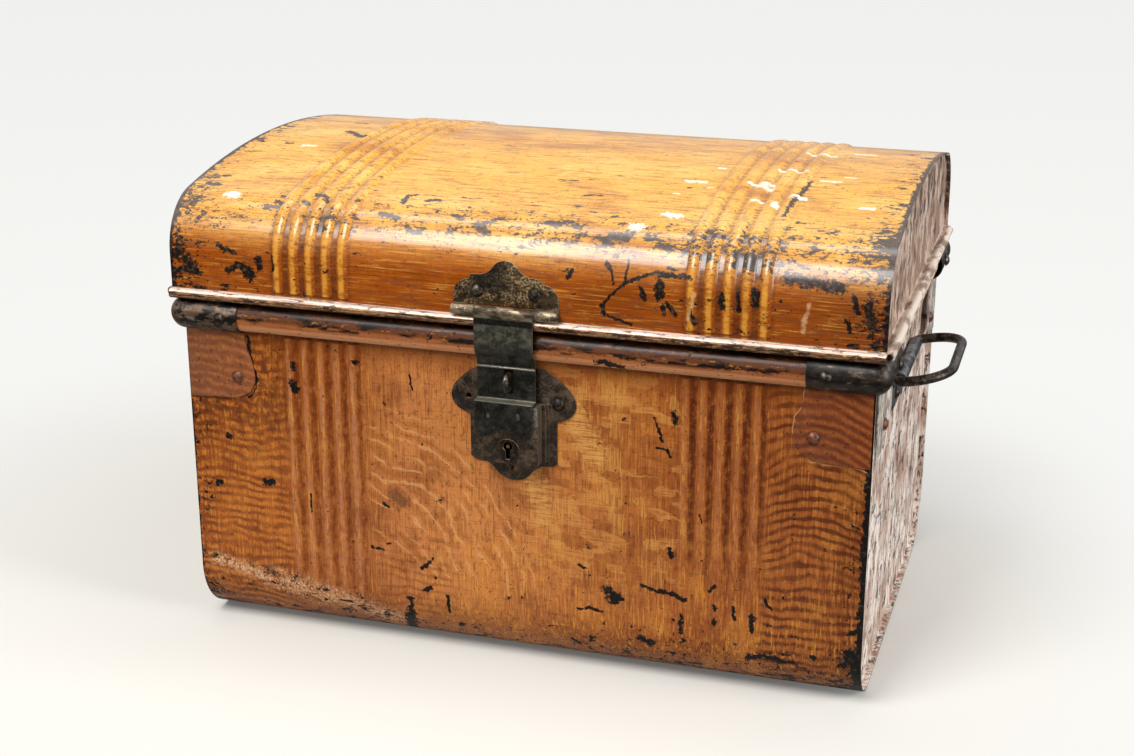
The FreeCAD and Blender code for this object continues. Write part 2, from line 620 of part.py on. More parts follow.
bead_run = edge_y - 2 * skin
swell = sketch_on(body_end_right, "XZ", -bead_run)
bead_root = panel_face - skin / 2
root_half = leg(end_arc, bead_root - end_axis)
outline(swell, [(bead_root, bead_level - root_half), (bead_root, bead_level + root_half, end_arc, 1)])
pad(body_end_right, swell, bead_run, "against")
hollow = sketch_on(body_end_right, "XZ", -(bead_run - skin))
hollow_root = panel_face - skin - break_out
hollow_half = leg(end_arc - skin, hollow_root - end_axis)
outline(hollow, [(hollow_root, bead_level - hollow_half),
                 (hollow_root, bead_level + hollow_half, end_arc - skin, 1)])
pocket(body_end_right, hollow, bead_run - skin, "against")
end_holes = sketch_on(body_end_right, "YZ", panel_face)
ring(end_holes, -cap_rivet_y, bead_level, hole_radius)
ring(end_holes, -leaf_rivet_y, leaf_rivet_level, hole_radius)
ring(end_holes, -plate_rivet_half, handle_level - plate_rivet_drop, hole_radius)
pocket(body_end_right, end_holes, through * end_bulge)
mirror_whole(body_end_right, "XZ")
body_end_left = mirrored_copy(body_end_right, "body_end_left", X_AXIS)
keep(body_end_right, body_end_left)

# ---------------------------------------------------------------- corner brackets
# One pressed piece a corner: a ball-cornered cap over the bead, a leaf on the front and one on the end.
bracket = new_body("bracket_front_right")
cap_inner = bead_arc + flush_gap
cap_outer = cap_inner + bracket_sheet
cap_shift = front - bead_axis
cap_axis_x = side - cap_shift
leaf_front = front + flush_gap
leaf_side = side + flush_gap
cap_rim_in = leg(cap_inner, leaf_front - bead_axis)
cap_rim_out = leg(cap_outer, leaf_front - bead_axis)


def cap_section(sketch, axis, face, direction):
    """Half-ring over the bead, open towards the body; direction is the way it bulges in the sketch."""
    return outline(sketch, [
        (face, bead_level - cap_rim_in),
        (face, bead_level + cap_rim_in, cap_inner, direction),
        (face, bead_level + cap_rim_out),
        (face, bead_level - cap_rim_out, cap_outer, -direction),
    ])


front_cap = cap_section(sketch_on(bracket, "YZ", side - corner_round), -bead_axis, -leaf_front, -1)
pad(bracket, front_cap, bracket_reach - corner_round, "against")
end_cap = cap_section(sketch_on(bracket, "XZ", -(front - corner_round)), cap_axis_x, leaf_side, 1)
pad(bracket, end_cap, bracket_end_reach - corner_round, "against")
doc.recompute()
ball_sketch = cap_section(sketch_on(bracket, "YZ", side - corner_round), -bead_axis, -leaf_front, -1)
ball_place = -(front - corner_round)
ball_axis = ball_sketch.addGeometry(Part.LineSegment(
    Vector(ball_place.value, 0, 0), Vector(ball_place.value, bead_level.value, 0)), True)
pin_point(ball_sketch, ball_axis, 1, (ball_place, 0))
pin_point(ball_sketch, ball_axis, 2, (ball_place, bead_level))
ball = bracket.newObject("PartDesign::Revolution", "bracket_ball")
ball.Profile = ball_sketch
ball.ReferenceAxis = (ball_sketch, ["Axis0"])
ball.Angle = 90
doc.recompute()
if ball.Shape.BoundBox.XMax < leaf_side.value + bead_bulge.value:
    ball.Reversed = True
leaf_top = bead_level - cap_rim_out + bracket_sheet / 2
leaf_knee = leaf_bottom + leaf_knee_rise
leaf_waist = leaf_reach - leaf_waist_in


def leaf_outline(sketch, corner, reach_sign, gap):
    """Leaf under the cap: `corner` is the trunk's corner, reach_sign points to the body's middle."""
    def at(distance):
        return corner + reach_sign * distance
    turn = reach_sign
    return outline(sketch, [
        (at(gap), leaf_top),
        (at(gap), leaf_bottom),
        (at(leaf_reach - leaf_toe_in), leaf_bottom + leaf_toe_rise),
        (at(leaf_reach - leaf_heel_in), leaf_bottom + leaf_heel_rise, leaf_foot_arc, turn),
        (at(leaf_reach), leaf_knee, leaf_knee_arc, turn),
        (at(leaf_waist), leaf_knee + leaf_waist_rise, leaf_waist_arc, turn),
        (at(leaf_waist - leaf_neck_in), leaf_top),
    ])


front_leaf = leaf_outline(sketch_on(bracket, "XZ", -leaf_front), side, -1, 2 * corner_round)
pad(bracket, front_leaf, bracket_sheet)
end_leaf = leaf_outline(sketch_on(bracket, "YZ", leaf_side), -front, 1, corner_slot)
pad(bracket, end_leaf, bracket_sheet)
front_rivet_holes = sketch_on(bracket, "XZ", -front)
ring(front_rivet_holes, cap_rivet_x, bead_level, hole_radius)
ring(front_rivet_holes, leaf_rivet_x, leaf_rivet_level, hole_radius)
pocket(bracket, front_rivet_holes, through * bead_arc)
end_rivet_holes = sketch_on(bracket, "YZ", side)
ring(end_rivet_holes, -cap_rivet_y, bead_level, hole_radius)
ring(end_rivet_holes, -leaf_rivet_y, leaf_rivet_level, hole_radius)
pocket(bracket, end_rivet_holes, through * bead_arc)
bracket_front_left = mirrored_copy(bracket, "bracket_front_left", X_AXIS)
bracket_back_right = mirrored_copy(bracket, "bracket_back_right", Y_AXIS)
bracket_back_left = mirrored_copy(bracket_front_left, "bracket_back_left", Y_AXIS)
keep(bracket, bracket_front_left, bracket_back_right, bracket_back_left)


# ---------------------------------------------------------------- rivets
def rivet_shape(length, seat, outward):
    """A domed head seated at the point `seat` and facing `outward`, with its shank behind it."""
    rise = rivet_rise.value
    head = rivet_head.value
    ball_radius = (head ** 2 + rise ** 2) / (2 * rise)
    ball = Part.makeSphere(ball_radius, Vector(0, 0, rise - ball_radius))
    keep_box = Part.makeBox(2 * head, 2 * head, rise, Vector(-head, -head, 0))
    shank = Part.makeCylinder(rivet_shank.value, length.value + rise / 3, Vector(0, 0, -length.value))
    shape = ball.common(keep_box).fuse(shank)
    shape.Placement = Placement(Vector(*[as_size(v).value for v in seat]), Rotation(Z_AXIS, outward))
    return shape


def rivet_group(label, rivets):
    group = doc.addObject("Part::Feature", label)
    group.Label = label
    group.Shape = Part.Compound([rivet_shape(*rivet) for rivet in rivets])
    return group


cap_front_y = bead_axis + cap_outer
cap_side_x = cap_axis_x + cap_outer
face_rivets = []
end_rivets = []
short_shank = bracket_sheet + flush_gap + skin + shank_tail
long_shank = bracket_sheet + flush_gap + end_recess + skin + shank_tail / 2
for x_sign in (-1, 1):
    for y_sign in (-1, 1):
        out_y = Vector(0, y_sign, 0)
        out_x = Vector(x_sign, 0, 0)
        face_rivets.append((short_shank, (x_sign * cap_rivet_x, y_sign * cap_front_y, bead_level), out_y))
        face_rivets.append((short_shank, (x_sign * leaf_rivet_x, y_sign * (leaf_front + bracket_sheet),
                                          leaf_rivet_level), out_y))
        end_rivets.append((long_shank, (x_sign * cap_side_x, y_sign * cap_rivet_y, bead_level), out_x))
        end_rivets.append((long_shank, (x_sign * (leaf_side + bracket_sheet), y_sign * leaf_rivet_y,
                                        leaf_rivet_level), out_x))
keep(rivet_group("bracket_face_rivets", face_rivets), rivet_group("bracket_end_rivets", end_rivets))

# ---------------------------------------------------------------- lid
# Front, crown and back are one sheet, its lower edges rolled round a wire.
lid_wrap = new_body("lid_wrap")
section = sketch_on(lid_wrap, "YZ")
wall_foot = seam_level + leg(roll_radius, roll_axis - lid_front)
outline(section, [
    (0, crown_top),
    dome_turn(0) + (crown_radius, 1),
    (-lid_front, shoulder_level, shoulder_radius, 1),
    (-lid_front, wall_foot),
    (-(roll_axis + roll_radius), seam_level, roll_radius, 1),
    (-roll_axis, seam_level - roll_radius, roll_radius, 1),
    (-(lid_front - skin), seam_level, roll_radius, 1),
    (-(lid_front - skin), shoulder_level),
    dome_turn(skin) + (shoulder_radius - skin, -1),
    (0, crown_top - skin, crown_radius - skin, -1),
])
ring(section, -roll_axis, seam_level, roll_radius - skin)
pad(lid_wrap, section, 2 * lid_side, "both")


def dome_path(x, start):
    """From the front wall at the height `start` over the shoulder to the middle of the crown."""
    return outline(sketch_on(lid_wrap, "YZ", x), [
        (-lid_front, start),
        (-lid_front, shoulder_level),
        dome_turn(0) + (shoulder_radius, -1),
        (0, crown_top, crown_radius, -1),
    ], closed=False)


lid_rib_start = seam_level + 2 * roll_radius
for middle in (-lid_rib_left, lid_rib_right):
    first = middle - rib_first
    ridge_sketch = rib_profile(sketch_on(lid_wrap, "XY", lid_rib_start), first, lid_front, -1, 0, root_depth)
    ridge = sweep(lid_wrap, "AdditivePipe", ridge_sketch, dome_path(first, lid_rib_start))
    doc.recompute()
    hollow_start = lid_rib_start + skin
    hollow_sketch = sketch_on(lid_wrap, "XY", hollow_start)
    hollow = rib_profile(hollow_sketch, first, lid_front, -1, skin, skin + break_out)
    channel = sweep(lid_wrap, "SubtractivePipe", hollow, dome_path(first, hollow_start))
    repeat_along_x(lid_wrap, [ridge, channel], rib_count, rib_pitch)
mirror_whole(lid_wrap, "XZ")

hasp_holes = sketch_on(lid_wrap, "XZ", -lid_front)
for sign in (-1, 1):
    ring(hasp_holes, hasp_centre + sign * hasp_rivet, hasp_rivet_level, hole_radius)
pocket(lid_wrap, hasp_holes, through * skin)
lid_leaf_foot = seam_level + lid_leaf_rise
lid_leaf_rivet_level = lid_leaf_foot + lid_leaf_tall / 2
lid_hinge_holes = sketch_on(lid_wrap, "XZ", lid_front)
for sign in (-1, 1):
    for offset in (-hinge_rivet_half, hinge_rivet_half):
        ring(lid_hinge_holes, sign * hinge_centre + offset, lid_leaf_rivet_level, hole_radius)
pocket(lid_wrap, lid_hinge_holes, through * skin)
keep(lid_wrap)

# Each end is a panel set back inside the lid's lip; a ledge at its foot carries its own rolled edge.
lid_end_right = new_body("lid_end_right")
lid_edge = lid_front - skin - seam_gap
ledge_level = seam_level + skin
inset = skin + seam_gap
half_panel = sketch_on(lid_end_right, "YZ", lid_face)
outline(half_panel, [
    (0, crown_top - inset),
    dome_turn(inset) + (crown_radius - inset, 1),
    (-lid_edge, shoulder_level, shoulder_radius - inset, 1),
    (-lid_edge, ledge_level),
    (0, ledge_level),
])
pad(lid_end_right, half_panel, skin, "against")
half_flange = sketch_on(lid_end_right, "YZ", lid_face)
outline(half_flange, [
    (0, crown_top - inset),
    dome_turn(inset) + (crown_radius - inset, 1),
    (-lid_edge, shoulder_level, shoulder_radius - inset, 1),
    (-lid_edge, ledge_level),
    (-(lid_edge - skin), ledge_level),
    (-(lid_edge - skin), shoulder_level),
    dome_turn(inset + skin) + (shoulder_radius - inset - skin, -1),
    (0, crown_top - inset - skin, crown_radius - inset - skin, -1),
])
pad(lid_end_right, half_flange, lid_end_recess)
ledge = rectangle(sketch_on(lid_end_right, "YZ", lid_face), -lid_edge, 0, ledge_level, ledge_level + skin)
pad(lid_end_right, ledge, end_roll_axis - lid_face)
roll_run = lid_edge - flush_gap
roll = ring(sketch_on(lid_end_right, "XZ", -roll_run), end_roll_axis, seam_level, roll_radius)
pad(lid_end_right, roll, roll_run, "against")
roll_bore = ring(sketch_on(lid_end_right, "XZ", -roll_run), end_roll_axis, seam_level, roll_radius - skin)
pocket(lid_end_right, roll_bore, through * roll_run)
mirror_whole(lid_end_right, "XZ")
lid_end_left = mirrored_copy(lid_end_right, "lid_end_left", X_AXIS)
keep(lid_end_right, lid_end_left)


def round_bar(label, radius, length, middle, axis):
    """A plain round bar centred on `middle` along +X or +Y."""
    bar = doc.addObject("Part::Cylinder", label)
    bar.Label = label
    bar.setExpression("Radius", as_size(radius).formula)
    bar.setExpression("Height", as_size(length).formula)
    start = [as_size(value) for value in middle]
    index = 0 if axis is X_AXIS else 1
    start[index] = start[index] - length / 2
    bar.Placement = Placement(Vector(*[value.value for value in start]), Rotation(Z_AXIS, axis))
    for name, value in zip("xyz", start):
        bar.setExpression(f"Placement.Base.{name}", value.formula)
    return bar


wire_radius = roll_radius - skin - wire_slack
long_wire = 2 * (lid_side - wire_short)
end_wire = 2 * (roll_run - wire_short)
wires = doc.addObject("Part::Compound", "lid_edge_wires")
wires.Label = "lid_edge_wires"
wires.Links = [
    round_bar("wire_front", wire_radius, long_wire, (0, -roll_axis, seam_level), X_AXIS),
    round_bar("wire_back", wire_radius, long_wire, (0, roll_axis, seam_level), X_AXIS),
    round_bar("wire_left", wire_radius, end_wire, (-end_roll_axis, 0, seam_level), Y_AXIS),
    round_bar("wire_right", wire_radius, end_wire, (end_roll_axis, 0, seam_level), Y_AXIS),
]
keep(wires)


def symmetric(centre, right):
    """Full outline from its right half, given anticlockwise from the foot to the top of the axis."""
    entries = [(centre + right[0][0], right[0][1]) + tuple(right[1][2:])]
    entries += [(centre + entry[0],) + tuple(entry[1:]) for entry in right[1:]]
    for index in range(len(right) - 1, 1, -1):
        entries.append((centre - right[index - 1][0], right[index - 1][1]) + tuple(right[index][2:]))
    return entries


# ---------------------------------------------------------------- hasp
hasp_plate = new_body("hasp_plate")
peak_arc = (peak_half * peak_half + peak_drop * peak_drop) / (2 * peak_drop)
notch_half = strap_half + knuckle_gap
hasp_face = sketch_on(hasp_plate, "XZ", -lid_front)
outline(hasp_face, symmetric(hasp_centre, [
    (0, knuckle_level + knuckle_radius + knuckle_gap),
    (notch_half, knuckle_level + knuckle_radius + knuckle_gap),
    (notch_half, knuckle_level),
    (hasp_half, knuckle_level),
    (hasp_half, hasp_shoulder - shoulder_arc),
    (hasp_half - shoulder_arc, hasp_shoulder, shoulder_arc, 1),
    (hasp_half - step_in, hasp_shoulder + step_rise),
    (neck_half, hasp_shoulder + neck_rise),
    (peak_half, hasp_shoulder + peak_rise - peak_drop, neck_arc, -1),
    (0, hasp_shoulder + peak_rise, peak_arc, 1),
]))
pad(hasp_plate, hasp_face, hasp_sheet)
for sign, way in ((-1, "along"), (1, "against")):
    knuckle = ring(sketch_on(hasp_plate, "YZ", hasp_centre + sign * hasp_half),
                   -hasp_axis_y, knuckle_level, knuckle_radius)
    pad(hasp_plate, knuckle, hasp_half - notch_half, way)
knuckle_bore = knuckle_radius - knuckle_wall
bore = ring(sketch_on(hasp_plate, "YZ", hasp_centre), -hasp_axis_y, knuckle_level, knuckle_bore)
pocket(hasp_plate, bore, through * hasp_half)
rivet_holes = sketch_on(hasp_plate, "XZ", -lid_front)
for sign in (-1, 1):
    ring(rivet_holes, hasp_centre + sign * hasp_rivet, hasp_rivet_level, hole_radius)
pocket(hasp_plate, rivet_holes, through * hasp_sheet)
hasp_shank = hasp_sheet + skin + shank_tail
hasp_rivets = rivet_group("hasp_rivets", [
    (hasp_shank, (hasp_centre + sign * hasp_rivet, -(lid_front + hasp_sheet), hasp_rivet_level), -Y_AXIS)
    for sign in (-1, 1)])
hasp_pin = round_bar("hasp_pin", knuckle_bore - pin_slack, 2 * (hasp_half + pin_tail),
                     (hasp_centre, -hasp_axis_y, knuckle_level), X_AXIS)
keep(hasp_plate, hasp_rivets, hasp_pin)

# The strap hangs from the pin, runs over the bead, bends in to a flat with the staple's slot, then
# steps out over the lock case and ends in a tab with a double-lobed edge.
strap = new_body("hasp_strap")
plate_front = front + lock_sheet
case_front = plate_front + case_depth
strap_front = hasp_axis_y + knuckle_radius - pin_slack
flat_front = strap_front - strap_inset
tab_front = case_front + flush_gap + hasp_sheet
strap_bend_top = bead_level + bend_start
strap_bend_foot = strap_bend_top - bend_fall
fold_level = strap_bend_foot - fold_drop
tab_foot = lug_level - tab_drop
bend = (bend_fall * bend_fall + strap_inset * strap_inset) / (4 * strap_inset)
bend_middle = (strap_bend_top + strap_bend_foot) / 2
lean_y = hasp_sheet * (2 * bend - strap_inset) / (2 * bend)
lean_z = hasp_sheet * bend_fall / (2 * bend)
step_top = case_top + tab_clear + hasp_sheet
strap_section = sketch_on(strap, "YZ", hasp_centre)
outline(strap_section, [
    (-strap_front, knuckle_level),
    (-strap_front, strap_bend_top),
    (-(strap_front - strap_inset / 2), bend_middle, bend, 1),
    (-flat_front, strap_bend_foot, bend, -1),
    (-flat_front, step_top),
    (-tab_front, step_top),
    (-tab_front, tab_foot - hasp_sheet),
    (-(tab_front - hasp_sheet), tab_foot - hasp_sheet),
    (-(tab_front - hasp_sheet), step_top - hasp_sheet),
    (-(flat_front - hasp_sheet), step_top - hasp_sheet),
    (-(flat_front - hasp_sheet), strap_bend_foot),
    (-(strap_front - strap_inset / 2) + lean_y, bend_middle + lean_z, bend + hasp_sheet, 1),
    (-(strap_front - hasp_sheet), strap_bend_top, bend - hasp_sheet, -1),
    (-(strap_front - hasp_sheet), knuckle_level),
])
pad(strap, strap_section, 2 * strap_half, "both")
knuckle = ring(sketch_on(strap, "YZ", hasp_centre), -hasp_axis_y, knuckle_level, knuckle_radius)
pad(strap, knuckle, 2 * strap_half, "both")
bore = ring(sketch_on(strap, "YZ", hasp_centre), -hasp_axis_y, knuckle_level, knuckle_bore)
pocket(strap, bore, through * strap_half)
fold = ring(sketch_on(strap, "YZ", hasp_centre), -flat_front, fold_level, fold_radius)
pad(strap, fold, 2 * strap_half, "both")
slot_reach = staple_span / 2 + staple_rod + slot_spare
slot = rectangle(sketch_on(strap, "XZ", -flat_front), staple_centre - slot_half, staple_centre + slot_half,
                 staple_level - slot_reach, staple_level + slot_reach)
pocket(strap, slot, through * hasp_sheet)
diagonal = root(as_size(0.5))
lobe_level = tab_foot + lobe
valley_half = strap_half - lobe - lobe * diagonal
valley_level = lobe_level - lobe * diagonal
valley_arc = (valley_half * valley_half + notch_rise * notch_rise) / (2 * notch_rise)
bow = sketch_on(strap, "XZ", -tab_front)
outline(bow, [
    (hasp_centre - strap_half - hasp_sheet, lobe_level),
    (hasp_centre - strap_half, lobe_level),
    (hasp_centre - valley_half, valley_level, lobe, 1),
    (hasp_centre + valley_half, valley_level, valley_arc, -1),
    (hasp_centre + strap_half, lobe_level, lobe, 1),
    (hasp_centre + strap_half + hasp_sheet, lobe_level),
    (hasp_centre + strap_half + hasp_sheet, tab_foot - 2 * hasp_sheet),
    (hasp_centre - strap_half - hasp_sheet, tab_foot - 2 * hasp_sheet),
])
pocket(strap, bow, through * hasp_sheet)
tenon_half = lug_tall / 2 - tenon_step
lug_holes = sketch_on(strap, "XZ", -tab_front)
for sign in (-1, 1):
    lug_x = hasp_centre + sign * lug_half
    rectangle(lug_holes, lug_x - lug_width / 2 - rivet_slack, lug_x + lug_width / 2 + rivet_slack,
              lug_level - tenon_half - rivet_slack, lug_level + tenon_half + rivet_slack)
pocket(strap, lug_holes, through * hasp_sheet)

# Two eyed lugs are set through the tab and enter the lock case.
lugs = new_body("hasp_catch_lugs")
tenons = sketch_on(lugs, "XZ", -(tab_front + hasp_sheet / 2))
shanks = sketch_on(lugs, "XZ", -(tab_front - hasp_sheet))
eyes = sketch_on(lugs, "YZ", hasp_centre)
for sign in (-1, 1):
    lug_x = hasp_centre + sign * lug_half
    rectangle(tenons, lug_x - lug_width / 2, lug_x + lug_width / 2,
              lug_level - tenon_half, lug_level + tenon_half)
    rectangle(shanks, lug_x - lug_width / 2, lug_x + lug_width / 2,
              lug_level - lug_tall / 2, lug_level + lug_tall / 2)
pad(lugs, tenons, 2 * hasp_sheet, "against")
pad(lugs, shanks, lug_deep, "against")
eye_half = lug_tall / 2 - lug_wall
eye_middle = tab_front - hasp_sheet - lug_deep / 2
rectangle(eyes, -(eye_middle + eye_half), -(eye_middle - eye_half),
          lug_level - eye_half, lug_level + eye_half)
pocket(lugs, eyes, through * lug_half)
keep(strap, lugs)

# ---------------------------------------------------------------- lock
lock_plate = new_body("lock_plate")
ear_root = ear_level - ear_root_drop
lock_face = sketch_on(lock_plate, "XZ", -front)
outline(lock_face, symmetric(lock_centre, [
    (0, lock_tip),
    (tip_half, lock_tip + tip_rise, tip_arc, 1),
    (ogee_half, lock_foot - lock_hip_drop, ogee_arc, -1),
    (lock_half - lock_toe_in, lock_foot - lock_toe_drop),
    (lock_half, lock_foot),
    (lock_half, ear_root),
    (ear_reach - ear_chin_in, ear_root + ear_chin_rise),
    (ear_reach, ear_level, ear_tip_arc, 1),
    (ear_reach - ear_brow_in, ear_level + ear_brow_rise, ear_brow_arc, 1),
    (lock_half - lock_brow_in, lock_top - lock_brow_drop, lock_brow_arc, 1),
    (lock_half - lock_flat_in, lock_top),
    (0, lock_top),
]))
pad(lock_plate, lock_face, lock_sheet)
plate_holes = sketch_on(lock_plate, "XZ", -front)
for sign in (-1, 1):
    ring(plate_holes, lock_centre + sign * ear_rivet, ear_level, hole_radius)
    ring(plate_holes, staple_centre, staple_level + sign * staple_span / 2, staple_rod + rivet_slack)
ring(plate_holes, lock_centre, lock_tip + foot_hole_rise, foot_hole_radius)
pocket(lock_plate, plate_holes, through * lock_sheet)
lock_rivet = rivet_group("lock_rivet", [
    (lock_sheet + skin + shank_tail, (lock_centre + ear_rivet, -plate_front, ear_level), -Y_AXIS)])

lock_case = new_body("lock_case")
block = rectangle(sketch_on(lock_case, "XZ", -plate_front), lock_centre - case_half, lock_centre + case_half,
                  case_foot, case_top)
pad(lock_case, block, case_depth)
room = rectangle(sketch_on(lock_case, "XZ", -plate_front),
                 lock_centre - case_half + case_wall, lock_centre + case_half - case_wall,
                 case_foot + case_wall, case_top - case_wall)
pocket(lock_case, room, case_depth - case_wall, "along")
flanges = sketch_on(lock_case, "XZ", -plate_front)
for sign in (-1, 1):
    inner_x = lock_centre + sign * (case_half - case_wall)
    outer_x = lock_centre + sign * (case_half + case_flange)
    rectangle(flanges, *((inner_x, outer_x) if sign > 0 else (outer_x, inner_x)), case_foot, case_top)
pad(lock_case, flanges, case_wall)
step_flange = sketch_on(lock_case, "XZ", -plate_front)
rectangle(step_flange, lock_centre + case_half - case_wall, lock_centre + case_half + step_width,
          case_foot, case_top)
pad(lock_case, step_flange, step_depth)
case_holes = sketch_on(lock_case, "XZ", -case_front)
for sign in (-1, 1):
    lug_x = hasp_centre + sign * lug_half
    rectangle(case_holes, lug_x - lug_width / 2 - case_play, lug_x + lug_width / 2 + case_play,
              lug_level - lug_tall / 2 - case_play, lug_level + lug_tall / 2 + 2 * case_play)
ring(case_holes, lock_centre, key_disc_level, key_disc_radius - window_lip)
pocket(lock_case, case_holes, through * case_wall)

escutcheon = new_body("lock_escutcheon")
disc = ring(sketch_on(escutcheon, "XZ", -case_front), lock_centre, key_disc_level, key_disc_radius)
slot_side = key_slot / 2
key_slot_foot = key_level - key_slot_drop
neck = key_level - leg(key_hole_radius, slot_side)
outline(disc, [
    (lock_centre - slot_side, key_slot_foot),
    (lock_centre + slot_side, key_slot_foot),
    (lock_centre + slot_side, neck),
    (lock_centre + key_hole_radius, key_level, key_hole_radius, 1),
    (lock_centre, key_level + key_hole_radius, key_hole_radius, 1),
    (lock_centre - key_hole_radius, key_level, key_hole_radius, 1),
    (lock_centre - slot_side, neck, key_hole_radius, 1),
])
pad(escutcheon, disc, case_wall)

key_pin = new_body("lock_key_pin")
pad(key_pin, ring(sketch_on(key_pin, "XZ", -plate_front), lock_centre, key_level, key_pin_radius),
    case_depth + case_wall / 2)

# The bolt slides along X behind the case; its bar enters the eye of the right lug.
bolt = new_body("lock_bolt")
bolt_half = lug_half - lug_width / 2 - bolt_side
slide_face = plate_front + bolt_gap
slide = rectangle(sketch_on(bolt, "XZ", -slide_face),
                  hasp_centre - bolt_half, hasp_centre + bolt_half - bolt_nose,
                  lug_level - bolt_drop, lug_level + lug_tall / 2)
pad(bolt, slide, lock_sheet)
bar_half = eye_half - bolt_play
bar_front = eye_middle + bar_half
web = rectangle(sketch_on(bolt, "XZ", -slide_face),
                hasp_centre - bolt_half + bolt_web_in, hasp_centre + lug_width / 2,
                lug_level - bar_half, lug_level + bar_half)
pad(bolt, web, bar_front - slide_face)
bar = rectangle(sketch_on(bolt, "YZ", hasp_centre), -bar_front, -(eye_middle - bar_half),
                lug_level - bar_half, lug_level + bar_half)
pad(bolt, bar, 2 * bolt_half, "both")

staple = new_body("lock_staple")
staple_root = front - staple_tail
staple_tip = front + staple_reach - staple_rod
staple_bend = staple_span / 2
low_leg = staple_level - staple_bend
high_leg = staple_level + staple_bend
staple_path = outline(sketch_on(staple, "YZ", staple_centre), [
    (-staple_root, low_leg),
    (-(staple_tip - staple_bend), low_leg),
    (-staple_tip, staple_level, staple_bend, -1),
    (-(staple_tip - staple_bend), high_leg, staple_bend, -1),
    (-staple_root, high_leg),
], closed=False)
staple_round = ring(sketch_on(staple, "XZ", -staple_root), staple_centre, low_leg, staple_rod)
sweep(staple, "AdditivePipe", staple_round, staple_path)
keep(lock_plate, lock_rivet, lock_case, escutcheon, key_pin, bolt, staple)


# ---------------------------------------------------------------- handles
def make_handle(label, x_sign, angle_formula, angle):
    """A closed D of round rod, drawn about its pivot with the grip towards +X, then hung on its end."""
    handle = new_body(label)
    path = outline(sketch_on(handle, "XY"), [
        (0, 0),
        (0, handle_half - handle_heel),
        (handle_heel, handle_half, handle_heel, -1),
        (handle_reach - handle_bend, handle_half),
        (handle_reach, handle_half - handle_bend, handle_bend, -1),
        (handle_reach, 0),
    ], closed=False)
    sweep(handle, "AdditivePipe", ring(sketch_on(handle, "XZ"), 0, 0, handle_rod), path)
    mirror_whole(handle, "XZ")
    pivot = x_sign * handle_axis_x
    handle.Placement = Placement(Vector(pivot.value, 0, handle_level.value), Rotation(Y_AXIS, angle))
    handle.setExpression("Placement.Base.x", pivot.formula)
    handle.setExpression("Placement.Base.z", handle_level.formula)
    if angle_formula:
        handle.setExpression("Placement.Rotation.Angle", angle_formula)
    return handle


handle_right = make_handle("handle_right", 1, (-handle_lift).formula, -handle_lift.value)
handle_left = make_handle("handle_left", -1, None, 90)

plate = new_body("handle_plate_right")
strip = rectangle(sketch_on(plate, "XZ"), panel_face, panel_face + plate_sheet,
                  handle_level - plate_drop, handle_level)
pad(plate, strip, 2 * ear_barrel_half, "both")
barrel = ring(sketch_on(plate, "XZ"), handle_axis_x, handle_level, handle_barrel)
pad(plate, barrel, 2 * ear_barrel_half, "both")
barrel_bore = ring(sketch_on(plate, "XZ"), handle_axis_x, handle_level, handle_rod + pin_slack)
pocket(plate, barrel_bore, through * ear_barrel_half)
plate_rivet_level = handle_level - plate_rivet_drop
strip_holes = sketch_on(plate, "YZ", panel_face)
for sign in (-1, 1):
    ring(strip_holes, sign * plate_rivet_half, plate_rivet_level, hole_radius)
pocket(plate, strip_holes, through * plate_sheet)
plate_left = mirrored_copy(plate, "handle_plate_left", X_AXIS)
plate_rivets = []
for x_sign in (-1, 1):
    for y_sign in (-1, 1):
        plate_rivets.append((plate_sheet + skin + shank_tail, (x_sign * (panel_face + plate_sheet),
                                                      y_sign * plate_rivet_half, plate_rivet_level),
                             Vector(x_sign, 0, 0)))
keep(handle_right, handle_left, plate, plate_left, rivet_group("handle_rivets", plate_rivets))

# ---------------------------------------------------------------- lid hinges
body_leaf = new_body("hinge_body_leaf_right")
web_in = front + hinge_stand
web_foot = bead_level - bead_half - crank_foot
web_head = bead_level - bead_half / 2
leaf_section = sketch_on(body_leaf, "YZ", hinge_centre)
outline(leaf_section, [
    (front, body_leaf_foot),
    (front + hinge_sheet, body_leaf_foot),
    (front + hinge_sheet, web_foot - crank_bend),
    (web_in + hinge_sheet, web_head - crank_bend),
    (web_in + hinge_sheet, hinge_level),
    (web_in, hinge_level),
    (web_in, web_head),
    (front, web_foot),
])
pad(body_leaf, leaf_section, 2 * hinge_half, "both")
knuckle = ring(sketch_on(body_leaf, "YZ", hinge_centre), hinge_axis_y, hinge_level, hinge_knuckle)
pad(body_leaf, knuckle, 2 * hinge_half, "both")
bore = ring(sketch_on(body_leaf, "YZ", hinge_centre), hinge_axis_y, hinge_level, hinge_bore)
pocket(body_leaf, bore, through * hinge_half)
gap_half = hinge_middle + knuckle_gap
middle_gap = rectangle(sketch_on(body_leaf, "XZ", hinge_axis_y),
                       hinge_centre - gap_half, hinge_centre + gap_half,
                       hinge_level - hinge_knuckle - 2 * knuckle_gap, hinge_level + 2 * hinge_knuckle)
pocket(body_leaf, middle_gap, through * hinge_knuckle)
leaf_holes = sketch_on(body_leaf, "XZ", front)
for offset in (-hinge_rivet_half, hinge_rivet_half):
    ring(leaf_holes, hinge_centre + offset, body_leaf_rivet_level, hole_radius)
pocket(body_leaf, leaf_holes, through * hinge_sheet)

